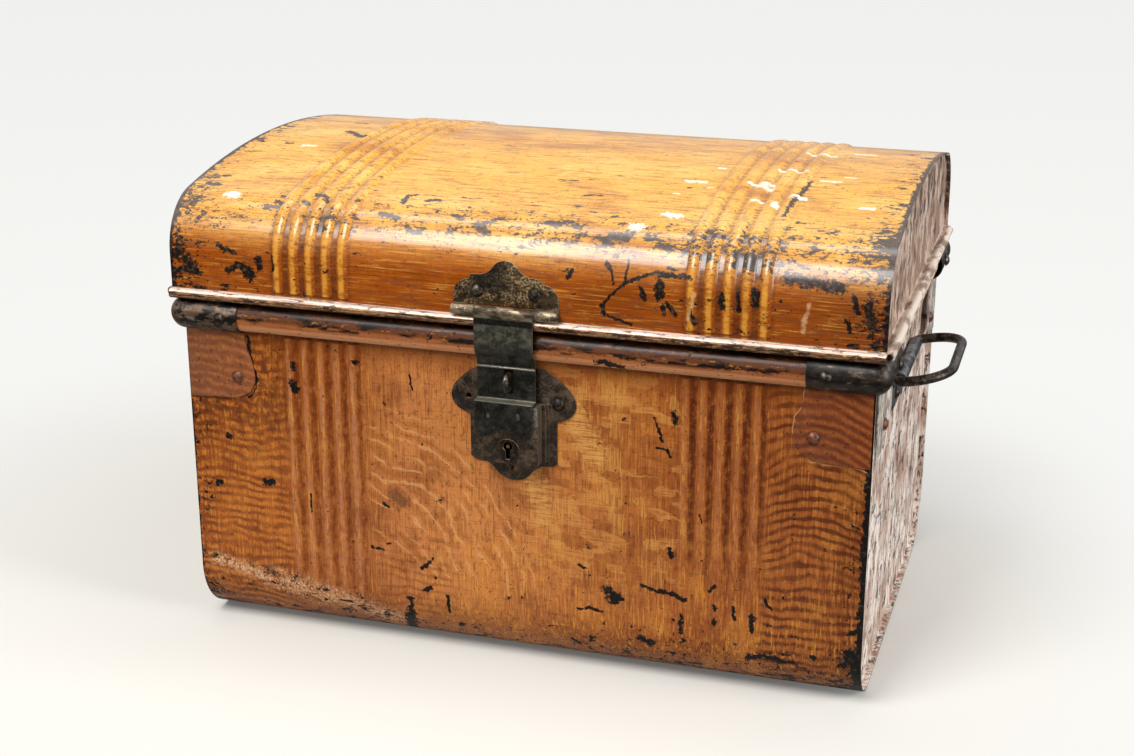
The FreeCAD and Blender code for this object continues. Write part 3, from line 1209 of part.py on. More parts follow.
lid_leaf = new_body("hinge_lid_leaf_right")
arm_out = hinge_axis_y + hinge_knuckle - pin_slack
arm_top = seam_level + roll_radius + crank_clear
leaf_head = lid_leaf_foot + lid_leaf_tall
arm_section = sketch_on(lid_leaf, "YZ", hinge_centre)
outline(arm_section, [
    (lid_front, lid_leaf_foot - arm_bend),
    (arm_out - hinge_sheet, arm_top - crank_bend),
    (arm_out - hinge_sheet, hinge_level),
    (arm_out, hinge_level),
    (arm_out, arm_top),
    (lid_front + hinge_sheet, lid_leaf_foot - arm_bend / 2),
    (lid_front + hinge_sheet, leaf_head),
    (lid_front, leaf_head),
])
pad(lid_leaf, arm_section, 2 * hinge_middle, "both")
lid_strip = rectangle(sketch_on(lid_leaf, "YZ", hinge_centre), lid_front, lid_front + hinge_sheet,
                      lid_leaf_foot, leaf_head)
pad(lid_leaf, lid_strip, 2 * hinge_half, "both")
knuckle = ring(sketch_on(lid_leaf, "YZ", hinge_centre), hinge_axis_y, hinge_level, hinge_knuckle)
pad(lid_leaf, knuckle, 2 * hinge_middle, "both")
bore = ring(sketch_on(lid_leaf, "YZ", hinge_centre), hinge_axis_y, hinge_level, hinge_bore)
pocket(lid_leaf, bore, through * hinge_half)
leaf_holes = sketch_on(lid_leaf, "XZ", lid_front)
for offset in (-hinge_rivet_half, hinge_rivet_half):
    ring(leaf_holes, hinge_centre + offset, lid_leaf_rivet_level, hole_radius)
pocket(lid_leaf, leaf_holes, through * hinge_sheet)

pin_length = 2 * (hinge_half + hinge_pin_tail)
hinge_pin_right = round_bar("hinge_pin_right", hinge_bore - pin_slack, pin_length,
                            (hinge_centre, hinge_axis_y, hinge_level), X_AXIS)
hinge_pin_left = round_bar("hinge_pin_left", hinge_bore - pin_slack, pin_length,
                           (-hinge_centre, hinge_axis_y, hinge_level), X_AXIS)
body_leaf_left = mirrored_copy(body_leaf, "hinge_body_leaf_left", X_AXIS)
lid_leaf_left = mirrored_copy(lid_leaf, "hinge_lid_leaf_left", X_AXIS)
hinge_rivet_seats = [sign * hinge_centre + offset for sign in (-1, 1)
                     for offset in (-hinge_rivet_half, hinge_rivet_half)]
hinge_shank = hinge_sheet + skin + shank_tail
keep(body_leaf, body_leaf_left, lid_leaf, lid_leaf_left, hinge_pin_right, hinge_pin_left)
keep(rivet_group("hinge_body_rivets", [
    (hinge_shank, (x, front + hinge_sheet, body_leaf_rivet_level), Y_AXIS) for x in hinge_rivet_seats]))
keep(rivet_group("hinge_lid_rivets", [
    (hinge_shank, (x, lid_front + hinge_sheet, lid_leaf_rivet_level), Y_AXIS) for x in hinge_rivet_seats]))

# ---------------------------------------------------------------- checks and files
doc.recompute()
broken = [item.Name for item in doc.Objects if {"Invalid", "Error"} & set(item.State)]
if broken:
    raise RuntimeError(f"failed features: {broken}")
for item in finished:
    if item.Shape.isNull() or not item.Shape.isValid() or not item.Shape.Solids:
        raise RuntimeError(f"{item.Label} has no sound solid")
os.makedirs("parts", exist_ok=True)
for item in finished:
    item.Shape.exportStep(f"parts/{item.Label}.step")
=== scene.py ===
import bpy
import bmesh
import math
import random
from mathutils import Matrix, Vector


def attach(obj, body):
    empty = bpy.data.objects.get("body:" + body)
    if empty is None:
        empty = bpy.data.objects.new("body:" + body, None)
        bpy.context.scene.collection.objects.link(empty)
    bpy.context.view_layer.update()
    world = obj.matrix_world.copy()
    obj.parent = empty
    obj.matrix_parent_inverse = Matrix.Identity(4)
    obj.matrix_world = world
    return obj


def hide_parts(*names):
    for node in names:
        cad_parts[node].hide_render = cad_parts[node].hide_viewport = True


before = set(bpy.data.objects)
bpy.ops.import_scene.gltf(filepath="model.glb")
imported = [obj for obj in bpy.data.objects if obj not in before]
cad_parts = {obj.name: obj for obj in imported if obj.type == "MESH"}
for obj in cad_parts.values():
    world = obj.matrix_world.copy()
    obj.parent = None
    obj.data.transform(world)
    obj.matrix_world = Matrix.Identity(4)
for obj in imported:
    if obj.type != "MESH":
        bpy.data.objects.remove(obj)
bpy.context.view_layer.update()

# ---------------------------------------------------------------- the studio
# A seamless white sweep with the trunk standing on it, one wide softbox overhead, a wide one at the
# front left and a weaker one at the right end.  The camera looks a little down on the front and the
# right end.
scene = bpy.context.scene
scene.view_settings.view_transform = "Standard"

target = Vector((-0.0129, 0.0, 0.1674))
azimuth = math.radians(17.25)
elevation = math.radians(19.126)
camera_distance = 1.4833
towards_camera = Vector((math.sin(azimuth) * math.cos(elevation),
                         -math.cos(azimuth) * math.cos(elevation), math.sin(elevation)))
camera_data = bpy.data.cameras.new("camera")
camera_data.sensor_width = 36.0
camera_data.lens = 59.165
camera_data.clip_end = 50.0
camera = bpy.data.objects.new("camera", camera_data)
scene.collection.objects.link(camera)
camera.location = target + towards_camera * camera_distance
camera.rotation_mode = "QUATERNION"
camera.rotation_quaternion = (-towards_camera).to_track_quat("-Z", "Y")
scene.camera = camera


def add(tree, kind, links=None, out=0, **settings):
    """Adds a node with its settings and with values or links for its sockets; returns an output
    socket, or the node itself with out=None."""
    made = tree.nodes.new(kind)
    for name, value in settings.items():
        setattr(made, name, value)
    for socket, value in (links or {}).items():
        if isinstance(value, bpy.types.NodeSocket):
            tree.links.new(value, made.inputs[socket])
        else:
            made.inputs[socket].default_value = value
    return made if out is None else made.outputs[out]


def ink(code):
    """An sRGB hex colour as a linear one."""
    shares = [int(code[i:i + 2], 16) / 255 for i in (1, 3, 5)]
    return [s / 12.92 if s <= 0.04045 else ((s + 0.055) / 1.055) ** 2.4 for s in shares] + [1.0]


def softbox(name, place, aim, width, height, power):
    """A rectangular lamp of `power` watts at `place`, turned towards `aim`."""
    light = bpy.data.lights.new(name, "AREA")
    light.shape = "RECTANGLE"
    light.size = width
    light.size_y = height
    light.energy = power
    holder = bpy.data.objects.new(name, light)
    scene.collection.objects.link(holder)
    holder.location = place
    holder.rotation_mode = "QUATERNION"
    holder.rotation_quaternion = (Vector(aim) - Vector(place)).to_track_quat("-Z", "Y")


softbox("overhead_box", (-0.15, 0.12, 1.60), (-0.10, -0.05, 0.30), 1.4, 0.34, 7.6)
softbox("front_box", (-0.50, -1.45, 2.0), (0.0, 0.0, 0.15), 1.1, 1.1, 52.0)
softbox("end_box", (2.2, -0.35, 0.9), (0.25, 0.0, 0.15), 1.2, 1.2, 44.0)

world = bpy.data.worlds.new("white_sweep")
scene.world = world
world.use_nodes = True
sky = world.node_tree
sky.nodes.clear()
path = add(sky, "ShaderNodeLightPath", out=None)
seen = add(sky, "ShaderNodeMath",
           {0: path.outputs["Is Camera Ray"], 1: path.outputs["Is Transmission Ray"]},
           operation="MAXIMUM")
seen = add(sky, "ShaderNodeMath", {0: seen, 1: path.outputs["Is Glossy Ray"]}, operation="MAXIMUM")
plain = add(sky, "ShaderNodeBackground", {"Color": ink("#F4F4F2"), "Strength": 0.30})
white = add(sky, "ShaderNodeBackground", {"Color": ink("#F6F6F4"), "Strength": 1.0})
both = add(sky, "ShaderNodeMixShader", {0: seen, 1: plain, 2: white})
add(sky, "ShaderNodeOutputWorld", {"Surface": both}, out=None)

half_sweep = 6.0
floor_mesh = bpy.data.meshes.new("floor")
floor_mesh.from_pydata([(-half_sweep, -half_sweep, 0), (half_sweep, -half_sweep, 0),
                        (half_sweep, half_sweep, 0), (-half_sweep, half_sweep, 0)], [], [(0, 1, 2, 3)])
floor = bpy.data.objects.new("floor", floor_mesh)
scene.collection.objects.link(floor)
paper = bpy.data.materials.new("white_paper_sweep")
paper.use_nodes = True
tree = paper.node_tree
tree.nodes.clear()
path = add(tree, "ShaderNodeLightPath", out=None)
where = add(tree, "ShaderNodeTexCoord", out="Object")
# plain paper with the trunk's shadow near this place, and glowing white further out
shadow_middle = (-0.10, -0.05, 0.0)
shadow_reach = 0.27
white_from = 0.72
away = add(tree, "ShaderNodeVectorMath", {0: where, 1: shadow_middle}, out="Value", operation="DISTANCE")
share = add(tree, "ShaderNodeMapRange", {0: away, 1: shadow_reach, 2: white_from, 3: 0.10, 4: 0.90},
            interpolation_type="SMOOTHSTEP")
matt = add(tree, "ShaderNodeBsdfDiffuse", {"Color": ink("#D5D2CB"), "Roughness": 0.5})
glow = add(tree, "ShaderNodeEmission",
           {"Color": ink("#F8F8F6"), "Strength": path.outputs["Is Camera Ray"]})
lit = add(tree, "ShaderNodeMixShader", {0: share, 1: matt, 2: glow})
add(tree, "ShaderNodeOutputMaterial", {"Surface": lit}, out=None)
floor_mesh.materials.append(paper)


# ---------------------------------------------------------------- the body's sheet
# One sheet of tinned steel bent into front, bottom and back, with a swaged bead and pressed ribs.  It
# is painted buff and scumbled in brown to look like oak: combed bands at both sides, broad pale
# figure in the middle.  Chips and scratches show black metal.
class Field:
    """A number that varies over a surface; arithmetic with fields adds nodes."""

    def __init__(self, tree, socket):
        self.tree = tree
        self.socket = socket

    def joined(self, other, operation):
        """The field that a math node makes of this one and another field or number."""
        values = {0: self.socket, 1: other.socket if isinstance(other, Field) else other}
        return Field(self.tree, add(self.tree, "ShaderNodeMath", values, operation=operation))

    def __add__(self, other):
        return self.joined(other, "ADD")

    def __sub__(self, other):
        return self.joined(other, "SUBTRACT")

    def __mul__(self, other):
        return self.joined(other, "MULTIPLY")

    def larger(self, other):
        return self.joined(other, "MAXIMUM")

    def smaller(self, other):
        return self.joined(other, "MINIMUM")

    def size(self):
        return self.joined(0.0, "ABSOLUTE")

    def rest(self):
        """1 where this is 0 and 0 where it is 1."""
        return self * -1.0 + 1.0

    def rise(self, start, end):
        """Goes smoothly from 0 where this is `start` to 1 where it is `end`."""
        return Field(self.tree, add(self.tree, "ShaderNodeMapRange", {0: self.socket, 1: start, 2: end},
                                    interpolation_type="SMOOTHSTEP"))

    def within(self, low, high, soft):
        """1 between low and high, with edges `soft` wide on both sides."""
        return self.rise(low - soft, low + soft) * self.rise(high + soft, high - soft)

    def waves(self, period):
        """Goes from 1 to 0 and back once in every `period`, with 1 where this is 0."""
        return (self * (2 * math.pi / period)).joined(0.0, "COSINE") * 0.5 + 0.5


class Finish:
    """A material built up coat by coat; its fields x, y and z are metres on the object."""

    def __init__(self, name, ground):
        self.material = bpy.data.materials.new(name)
        self.material.use_nodes = True
        self.tree = self.material.node_tree
        self.tree.nodes.clear()
        where = add(self.tree, "ShaderNodeTexCoord", out=None)
        self.place = where.outputs["Object"]
        axes = add(self.tree, "ShaderNodeSeparateXYZ", {0: self.place}, out=None)
        self.x, self.y, self.z = (Field(self.tree, socket) for socket in axes.outputs)
        facing = add(self.tree, "ShaderNodeSeparateXYZ", {0: where.outputs["Normal"]}, out=None)
        self.nx, self.ny, self.nz = (Field(self.tree, socket) for socket in facing.outputs)
        self.colour = ink(ground)

    def cloud(self, size_mm, stretch=(1, 1, 1), seed=0.0, detail=4.0, roughness=0.55, out="Fac"):
        """Noise about 0.5 with spots about size_mm across, pulled longer by `stretch`."""
        moved = add(self.tree, "ShaderNodeMapping",
                    {"Vector": self.place, "Location": (seed, 0.7 * seed, -1.3 * seed),
                     "Scale": [1000.0 / (size_mm * s) for s in stretch]})
        noise = add(self.tree, "ShaderNodeTexNoise",
                    {"Vector": moved, "Scale": 1.0, "Detail": detail, "Roughness": roughness}, out=out)
        return Field(self.tree, noise)

    def patches(self, size_mm, level, stretch=(1, 1, 1), seed=0.0, boost=0.0, soft=0.008):
        """Ragged patches where the noise, helped by `boost`, is above `level`."""
        height = self.cloud(size_mm, stretch, seed, 7.0, 0.68) + boost
        return height.rise(level - soft, level + soft)

    def strokes(self, across, along, lines, seed, fray_share=5.0, soft=0.15):
        """1 on scratches and blots given one by one: each is a start and an end in millimetres along
        the two fields, and a half width, by which its outline frays."""
        flat = add(self.tree, "ShaderNodeCombineXYZ",
                   {0: (across * 1000.0).socket, 1: (along * 1000.0).socket, 2: 0.0})
        wander = add(self.tree, "ShaderNodeVectorMath",
                     {0: self.cloud(7.0, (1, 1, 1), seed, 2.0, 0.5, "Color").socket, 1: (0.5, 0.5, 0.5)},
                     operation="SUBTRACT")
        wander = add(self.tree, "ShaderNodeVectorMath", {0: wander, 1: (4.0, 4.0, 0.0)},
                     operation="MULTIPLY")
        flat = add(self.tree, "ShaderNodeVectorMath", {0: flat, 1: wander}, operation="ADD")
        nearest = None
        for x0, y0, x1, y1, half in lines:
            run = Vector((x1 - x0, y1 - y0, 0.0))
            offset = add(self.tree, "ShaderNodeVectorMath", {0: flat, 1: (x0, y0, 0.0)},
                         operation="SUBTRACT")
            along_run = run / max(run.length_squared, 1e-6)
            share = add(self.tree, "ShaderNodeVectorMath", {0: offset, 1: along_run}, out="Value",
                        operation="DOT_PRODUCT")
            share = Field(self.tree, share).larger(0.0).smaller(1.0)
            foot = add(self.tree, "ShaderNodeVectorMath", {0: run, "Scale": share.socket},
                       operation="SCALE")
            gap = add(self.tree, "ShaderNodeVectorMath", {0: offset, 1: foot}, out="Value",
                      operation="DISTANCE")
            gap = Field(self.tree, gap) * (1 / half)
            nearest = gap if nearest is None else nearest.smaller(gap)
        fray = (self.cloud(3.0, (1, 1, 1), seed + 1, 6.0, 0.75) - 0.5) * fray_share
        return (nearest + fray).rise(1 + soft, 1 - soft)

    def mixed(self, under, over, mask):
        """One colour over another where the mask is 1."""
        colours = [ink(c) if isinstance(c, str) else c for c in (under, over)]
        share = mask.socket if isinstance(mask, Field) else mask
        return add(self.tree, "ShaderNodeMix", {0: share, 6: colours[0], 7: colours[1]}, out=2,
                   data_type="RGBA")

    def lay(self, colour, mask):
        """Lays a coat over what is there, where the mask is 1."""
        self.colour = self.mixed(self.colour, colour, mask)

    def end(self, metallic, roughness, height, depth, gloss=0.5, varnish=0.0):
        """Ends the material with its gloss and a relief `depth` metres deep."""
        plain = [v.socket if isinstance(v, Field) else v for v in (metallic, roughness, height, varnish)]
        bumps = add(self.tree, "ShaderNodeBump",
                    {"Height": plain[2], "Distance": depth, "Strength": 1.0})
        shader = add(self.tree, "ShaderNodeBsdfPrincipled",
                     {"Base Color": self.colour, "Metallic": plain[0], "Roughness": plain[1],
                      "Specular IOR Level": gloss, "Normal": bumps, "Coat Weight": plain[3],
                      "Coat Roughness": 0.18})
        add(self.tree, "ShaderNodeOutputMaterial", {"Surface": shader}, out=None)

    def dress(self, *nodes):
        """Puts this finish on CAD nodes."""
        for name in nodes:
            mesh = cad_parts[name].data
            for index in range(len(mesh.materials)):
                mesh.materials[index] = self.material


def combed_sides(coat, comb, wobble, strength, left, right):
    """The grainer's combing: wavering level bands on the left side, nested arches on the right."""
    band_pitch = 0.0070
    arch_pitch = 0.0076
    arch_middle = 0.215
    bands = (coat.z + wobble * 1.2).waves(band_pitch)
    dragged = comb.rise(0.3, 0.56) * 0.6 + 0.4
    coat.lay("#652E10", bands.rise(0.42, 0.85) * left * (strength * 0.5 + 0.25) * dragged)
    coat.lay("#CB7C2A", bands.rise(0.4, 0.02) * left * comb.rise(0.42, 0.62) * 0.75)
    from_crown = coat.x - arch_middle
    bend = coat.z.rise(0.07, 0.13) * 9.0
    arches = (coat.z + from_crown * from_crown * bend + wobble).waves(arch_pitch)
    coat.lay("#4F2008", arches.rise(0.45, 0.88) * right * (strength * 0.45 + 0.35))
    coat.lay("#AD652A", arches.rise(0.35, 0.0) * right * (comb.rise(0.4, 0.62) * 0.6 + 0.1))


def buff_lining(coat):
    """The thin buff coat that the inside was left with, gone dull."""
    return coat.mixed("#8D7A5C", "#A79575", coat.cloud(25, seed=29.0))


body_length = 0.508
rib_pitch = 0.0125
body_ribs = (-0.146, 0.1507)
bead_foot = 0.240
bead_crest = 0.248
relief = 0.0006

body = Finish("oak_scumble_on_body_sheet", "#A86131")
x, y, z = body.x, body.y, body.z
# the ground tone from the left edge to the right one
from_left_edge = (x + body_length / 2) * (1 / body_length)
ramp = add(body.tree, "ShaderNodeValToRGB", {0: from_left_edge.socket}, out=None)
stops = [(0.0, "#A85920"), (0.12, "#B86626"), (0.20, "#A85C27"), (0.28, "#AE6632"), (0.34, "#C67A44"),
         (0.44, "#CB8044"), (0.54, "#BD723A"), (0.64, "#AE642E"), (0.72, "#A45824"), (0.82, "#9A5224"),
         (0.92, "#964E22"), (1.0, "#7A3C16")]
for index, (at, code) in enumerate(stops):
    stop = ramp.color_ramp.elements[index] if index < 2 else ramp.color_ramp.elements.new(at)
    stop.position = at
    stop.color = ink(code)
body.colour = ramp.outputs[0]
body.lay("#6A3210", z.rise(0.085, 0.0) * 0.6)
cloud = body.cloud(38, seed=1.0)
body.lay("#CF8438", cloud.rise(0.5, 0.7) * 0.5)
body.lay("#7A3A14", cloud.rise(0.48, 0.32) * 0.5)
mottle = body.cloud(4.2, (1, 1, 1.6), 41.0, 7.0, 0.72)
body.lay("#6B3210", mottle.rise(0.47, 0.33) * 0.7)
body.lay("#D58E3C", mottle.rise(0.54, 0.7) * 0.55)
# fine strokes of the comb, upright and level, under a millimetre apart
comb = body.cloud(0.9, (1, 1, 20), 2.0, 2.0)
cross = body.cloud(1.0, (18, 1, 1), 4.0, 2.0)
body.lay("#DB9444", comb.rise(0.53, 0.7) * 0.45)
body.lay("#5F2B0C", comb.rise(0.47, 0.3) * 0.5)
body.lay("#6C3410", cross.rise(0.46, 0.28) * 0.35)
wobble = body.cloud(55, seed=6.0, detail=2.0) * 0.022 + body.cloud(11, seed=8.0, detail=3.0) * 0.006
strength = body.cloud(17, seed=9.0).rise(0.36, 0.6)
combed_sides(body, comb, wobble, strength, x.rise(-0.168, -0.184), x.rise(0.176, 0.188))
# near the left bracket the glaze is darker and speckled
upper_left = x.rise(-0.165, -0.19) * z.rise(0.12, 0.19)
body.lay("#5C2E18", upper_left * mottle.rise(0.56, 0.45) * 0.7)
# left of the middle, thin pale arcs that start level at the ribs and fall to the right
from_left = x + 0.120
from_foot = (z - 0.03) * 0.88
reach = (from_left * from_left + from_foot * from_foot).joined(0.5, "POWER") + wobble * 1.3
arc_pitch = 0.0098
arcs = reach.waves(arc_pitch)
quarter = x.rise(-0.117, -0.104) * z.rise(0.045, 0.075) * reach.within(0.072, 0.165, 0.012)
broken = body.cloud(20, seed=12.0).rise(0.42, 0.58)
body.lay("#E0A566", arcs.rise(0.82, 1.0) * quarter * broken * 0.6)
body.lay("#96501F", arcs.rise(0.4, 0.05) * quarter * broken * 0.45)
low_band_pitch = 0.0072
bands = (z + wobble).waves(low_band_pitch)
low_left = x.rise(-0.117, -0.108) * x.rise(-0.03, -0.06) * z.rise(0.11, 0.09)
body.lay("#824216", bands.rise(0.5, 0.95) * low_left * strength * 0.55)
# right of the middle, oblong pale flakes, some level and some upright, and short dashes below
shaken = add(body.tree, "ShaderNodeVectorMath",
             {0: body.cloud(14, (1, 1, 1), 44.0, 3.0, 0.6, "Color").socket, 1: (0.007, 0.0, 0.007)},
             operation="MULTIPLY")
shaken = add(body.tree, "ShaderNodeVectorMath", {0: shaken, 1: body.place}, operation="ADD")
blocks = []
for number, (wide, tall) in enumerate(((0.017, 0.0075), (0.0085, 0.015))):
    squared = add(body.tree, "ShaderNodeMapping",
                  {"Vector": shaken, "Location": (number * 0.4, 0.3, number * 0.7),
                   "Scale": (1 / wide, 0.0, 1 / tall)})
    cells = add(body.tree, "ShaderNodeTexVoronoi", {"Vector": squared, "Scale": 1.0, "Randomness": 0.9},
                out="Color", distance="CHEBYCHEV")
    shade = add(body.tree, "ShaderNodeSeparateColor", {0: cells}, out="Red")
    blocks.append(Field(body.tree, shade))
middle_right = x.rise(-0.02, 0.02) * x.rise(0.135, 0.118) * z.rise(0.05, 0.11)
body.lay("#D0904A", blocks[0].rise(0.70, 0.74) * middle_right * (cross.rise(0.42, 0.55) * 0.4 + 0.15))
body.lay("#8C4C1E", blocks[0].rise(0.26, 0.22) * middle_right * 0.45)
body.lay("#D4964A", blocks[1].rise(0.78, 0.82) * middle_right * (comb.rise(0.42, 0.55) * 0.4 + 0.15))
dashes = body.patches(2.4, 0.585, (1, 1, 7), 7.0, soft=0.05)
body.lay("#E09A34", dashes * z.rise(0.135, 0.05) * x.rise(-0.10, -0.03) * 0.6)
pale_spot = body.strokes(x, z, [(16, 150, 22, 122, 7), (44, 205, 60, 176, 8)], 14.0, 4.0, 0.7)
body.lay("#DDA458", pale_spot * cross.rise(0.36, 0.58) * 0.7)
# the ribs: crests painted pinkish for worn paint and a painted highlight from the left, right flanks
# rust-brown for rust and painted shade, fading towards the foot
rib_paint = ((body_ribs[0], 0.02, 0.07, "#73330B", "#B87A5C"),
             (body_ribs[1], 0.075, 0.13, "#54200A", "#AD6A40"))
for middle, foot, head, flank_rust_and_shade, crest_wear_and_highlight in rib_paint:
    from_middle = x - middle
    group = from_middle.within(-0.0300, 0.0305, 0.0025) * z.rise(foot, head)
    flank = (from_middle - 0.0046).waves(rib_pitch)
    crest = (from_middle + 0.0010).waves(rib_pitch)
    body.lay(flank_rust_and_shade, flank.rise(0.45, 0.95) * group * (mottle.rise(0.6, 0.4) * 0.5 + 0.35))
    body.lay(crest_wear_and_highlight, crest.rise(0.72, 1.0) * group * (mottle.rise(0.38, 0.58) * 0.55 + 0.15))
    # the right flanks' upper parts darkened again: rust and painted shade
    rust = group * z.rise(0.15, 0.215) * (mottle.rise(0.62, 0.45) * 0.6)
    body.lay(flank_rust_and_shade, flank.rise(0.5, 0.9) * rust)
    gilt_streak = body.patches(2.2, 0.57, (1, 1, 6), 15.0 + middle, soft=0.04)
    body.lay("#D39038", crest.rise(0.6, 0.95) * group * gilt_streak * 0.75)
# a round stain, and the pale scuff over the lower left corner
stain = body.strokes(x, z, [(-91, 124, -88, 122, 6.5)], 16.0, 2.5, 0.6)
body.lay("#4E2A1E", stain * 0.7)
scuff = body.strokes(x, z, [(-242, 54, -196, 43, 5), (-196, 43, -150, 34, 8), (-150, 36, -95, 20, 7)],
                     18.0, 4.0, 0.8)
body.lay("#CE9A70", scuff * body.patches(2.6, 0.49, seed=20.0, soft=0.06) * 0.8)
body.lay("#E9D0AC", scuff * body.patches(1.8, 0.57, seed=21.0, soft=0.04) * 0.8)
# painted shade under the bead, then the bead: its lower flank painted pale in place of light, with a
# rubbed line of wear and painted highlight; its top painted dark as the lid roll's shade, with soot and
# gilt specks
body.lay("#7A3A0C", z.rise(bead_foot - 0.022, bead_foot - 0.0015) * 0.55)
bead = z.rise(bead_foot - 0.0004, bead_foot + 0.0004)
streaky = body.cloud(1.4, (22, 1, 1), 22.0, 3.0)
# the bead's pale ground, painted light on its down-facing lower flank
body.lay("#E29660", bead)
# a rubbed line along the lower flank: wear with a painted highlight
rubbed = bead * z.within(bead_foot + 0.0005, bead_foot + 0.0046, 0.0008)
body.lay("#F0C09A", rubbed * streaky.rise(0.42, 0.6) * 0.75)
body.lay("#A86034", z.rise(bead_crest - 0.0022, bead_crest) * 0.95)
# painted shade of the lid's roll over the top of the bead
bead_in_roll_shade = z.rise(bead_crest + 0.0010, bead_crest + 0.0050)
body.lay("#522B15", bead_in_roll_shade * 0.9)
body.lay("#B9824E", bead * streaky.rise(0.58, 0.66) * bead_in_roll_shade.rest() * 0.6)
soot = body.patches(8, 0.52, (4, 1, 1), 9.0, soft=0.04)
body.lay("#160C07", soot * z.rise(bead_crest - 0.0008, bead_crest + 0.0026))
gilt = body.patches(2.2, 0.6, (3, 1, 1), 24.0, soft=0.03)
body.lay("#A97238", gilt * z.rise(bead_crest - 0.0010, bead_crest + 0.0020) * 0.75)
# a painted black shadow in the gap between the bead and the lid's roll
body.lay("#1E1008", z.rise(bead_crest + 0.0065, bead_crest + 0.0080) * (soot * 0.5 + 0.35))
# grime specks, then chips down to black metal: dense along the foot, both ends and the right side
body.lay("#42200C", body.patches(1.8, 0.62, seed=11.0, soft=0.03) * 0.75)
foot = z.rise(0.055, 0.0) * 0.095
sides = x.size().rise(0.225, 0.256) * 0.07
right_low = x.rise(-0.02, 0.24) * z.rise(0.12, 0.03) * 0.04
boost = foot + sides + right_low + bead * 0.01
chips = body.patches(10, 0.665, (1.3, 1, 1), 13.0, boost)
small_chips = body.patches(4.0, 0.672, (1, 1, 1.4), 17.0, boost)
ragged = body.cloud(6, seed=19.0, detail=6.0, roughness=0.7)
right_edge = (x + ragged * 0.012).rise(0.2556, 0.2562)
left_edge = (x * -1.0 + ragged * 0.010).rise(0.2578, 0.2584)
# the larger chips and scratches one by one, dark spots in the lock plate's two empty holes, a dark line
# of dirt and painted shadow along the left bracket leaf's right edge, and the pale edge of the right
# bracket's paint
marks = body.strokes(x, z, [
    (-82, 42, -83, 30, 2.4), (-84, 29, -88, 8, 4.4), (-73, 69, -64, 77, 1.7), (-70, 51, -66, 54, 1.9),
    (-61, 62, -61, 62, 1.4), (-52, 49, -52, 35, 1.2), (-168, 219, -168, 214, 1.6),
    (-169, 204, -168, 199, 3.0), (-225, 157, -224, 156, 2.2), (-237, 117, -234, 118, 2.0),
    (-197, 122, -190, 124, 2.6), (70, 71, 78, 66, 3.6), (73, 66, 75, 64, 3.4), (94, 79, 108, 75, 1.0),
    (108, 76, 117, 75, 1.4), (117, 75, 128, 72, 1.7), (49, 53, 57, 56, 1.1), (57, 56, 66, 53, 1.1),
    (43, 24, 48, 22, 2.4), (58, 30, 60, 30, 1.8), (95, 36, 103, 32, 3.0), (125, 60, 125, 46, 1.6),
    (145, 81, 149, 86, 1.2), (149, 70, 149, 67, 1.8), (149, 58, 150, 57, 2.0), (162, 72, 164, 62, 1.3),
    (176, 67, 176, 55, 2.0), (184, 80, 189, 73, 1.2), (183, 35, 197, 33, 2.2), (197, 33, 209, 32, 1.7),
    (219, 39, 221, 39, 1.8), (115, 109, 117, 103, 2.0), (49, 88, 53, 86, 1.2),
    (117, 211, 118, 204, 1.8), (103, 206, 106, 198, 0.9), (106, 198, 108, 191, 1.3),
    (104, 184, 113, 184, 0.9), (113, 184, 114, 179, 1.2), (246, 48, 253, 20, 4.0),
    (-112, 81, -103, 79, 1.2), (-101, 117, -97, 115, 1.2), (-78, 219, -76, 208, 0.7),
    (-121, 226, -118, 225, 1.6), (-159, 118, -159, 104, 0.9), (137, 139, 139, 133, 0.9),
    # dark spots in the lock plate's two empty holes
    (-37, 207, -37, 207, 4.0), (-4, 157, -4, 157, 4.0), (64, 246, 82, 243, 2.4),
    # dirt and painted shadow along the left bracket leaf's right edge
    (-204, 236, -203, 221, 1.0), (-203, 221, -199, 204, 0.9), (-199, 204, -200, 196, 0.8),
    (-200, 196, -206, 188, 0.6),
], 26.0)
burr = body.strokes(x, z, [
    (206, 239, 205, 226, 0.35), (205, 226, 200, 218, 0.4), (200, 218, 199, 207, 0.4),
    (199, 207, 204, 196, 0.4), (204, 196, 212, 187, 0.45), (212, 187, 222, 186, 0.4),
    (222, 186, 241, 185, 0.4), (241, 185, 254, 183, 0.35),
], 27.0, 1.5)
body.lay("#C49468", burr * 0.8)
grey_spots = scuff * body.patches(7, 0.57, (1.8, 1, 1), 28.0, soft=0.02)
bare = chips.larger(small_chips).larger(right_edge).larger(left_edge).larger(marks).larger(grey_spots)
steel = body.mixed("#0E0A08", "#4B433A", body.cloud(3, seed=23.0).rise(0.52, 0.8))
body.lay(steel, bare)
# inside, a plain thin buff coat gone dull, with rust freckles
outward = body.ny * y + body.nz * (z - 0.15)
inside = outward.rise(0.004, -0.004)
lining = buff_lining(body)
lining = body.mixed(lining, "#5E3419", body.patches(5, 0.62, seed=31.0, soft=0.05))
body.lay(lining, inside)
bare = bare * inside.rest()
dents = body.cloud(45, seed=37.0, detail=1.0) * 1.8 + body.cloud(16, seed=39.0, detail=1.0) * 0.5
height = comb * 0.12 + chips * -0.35 + dents
body.end(bare * 0.3, bare * 0.14 + cloud * 0.14 + 0.34, height, relief, 0.16, 0.12)
body.dress("body_wrap")

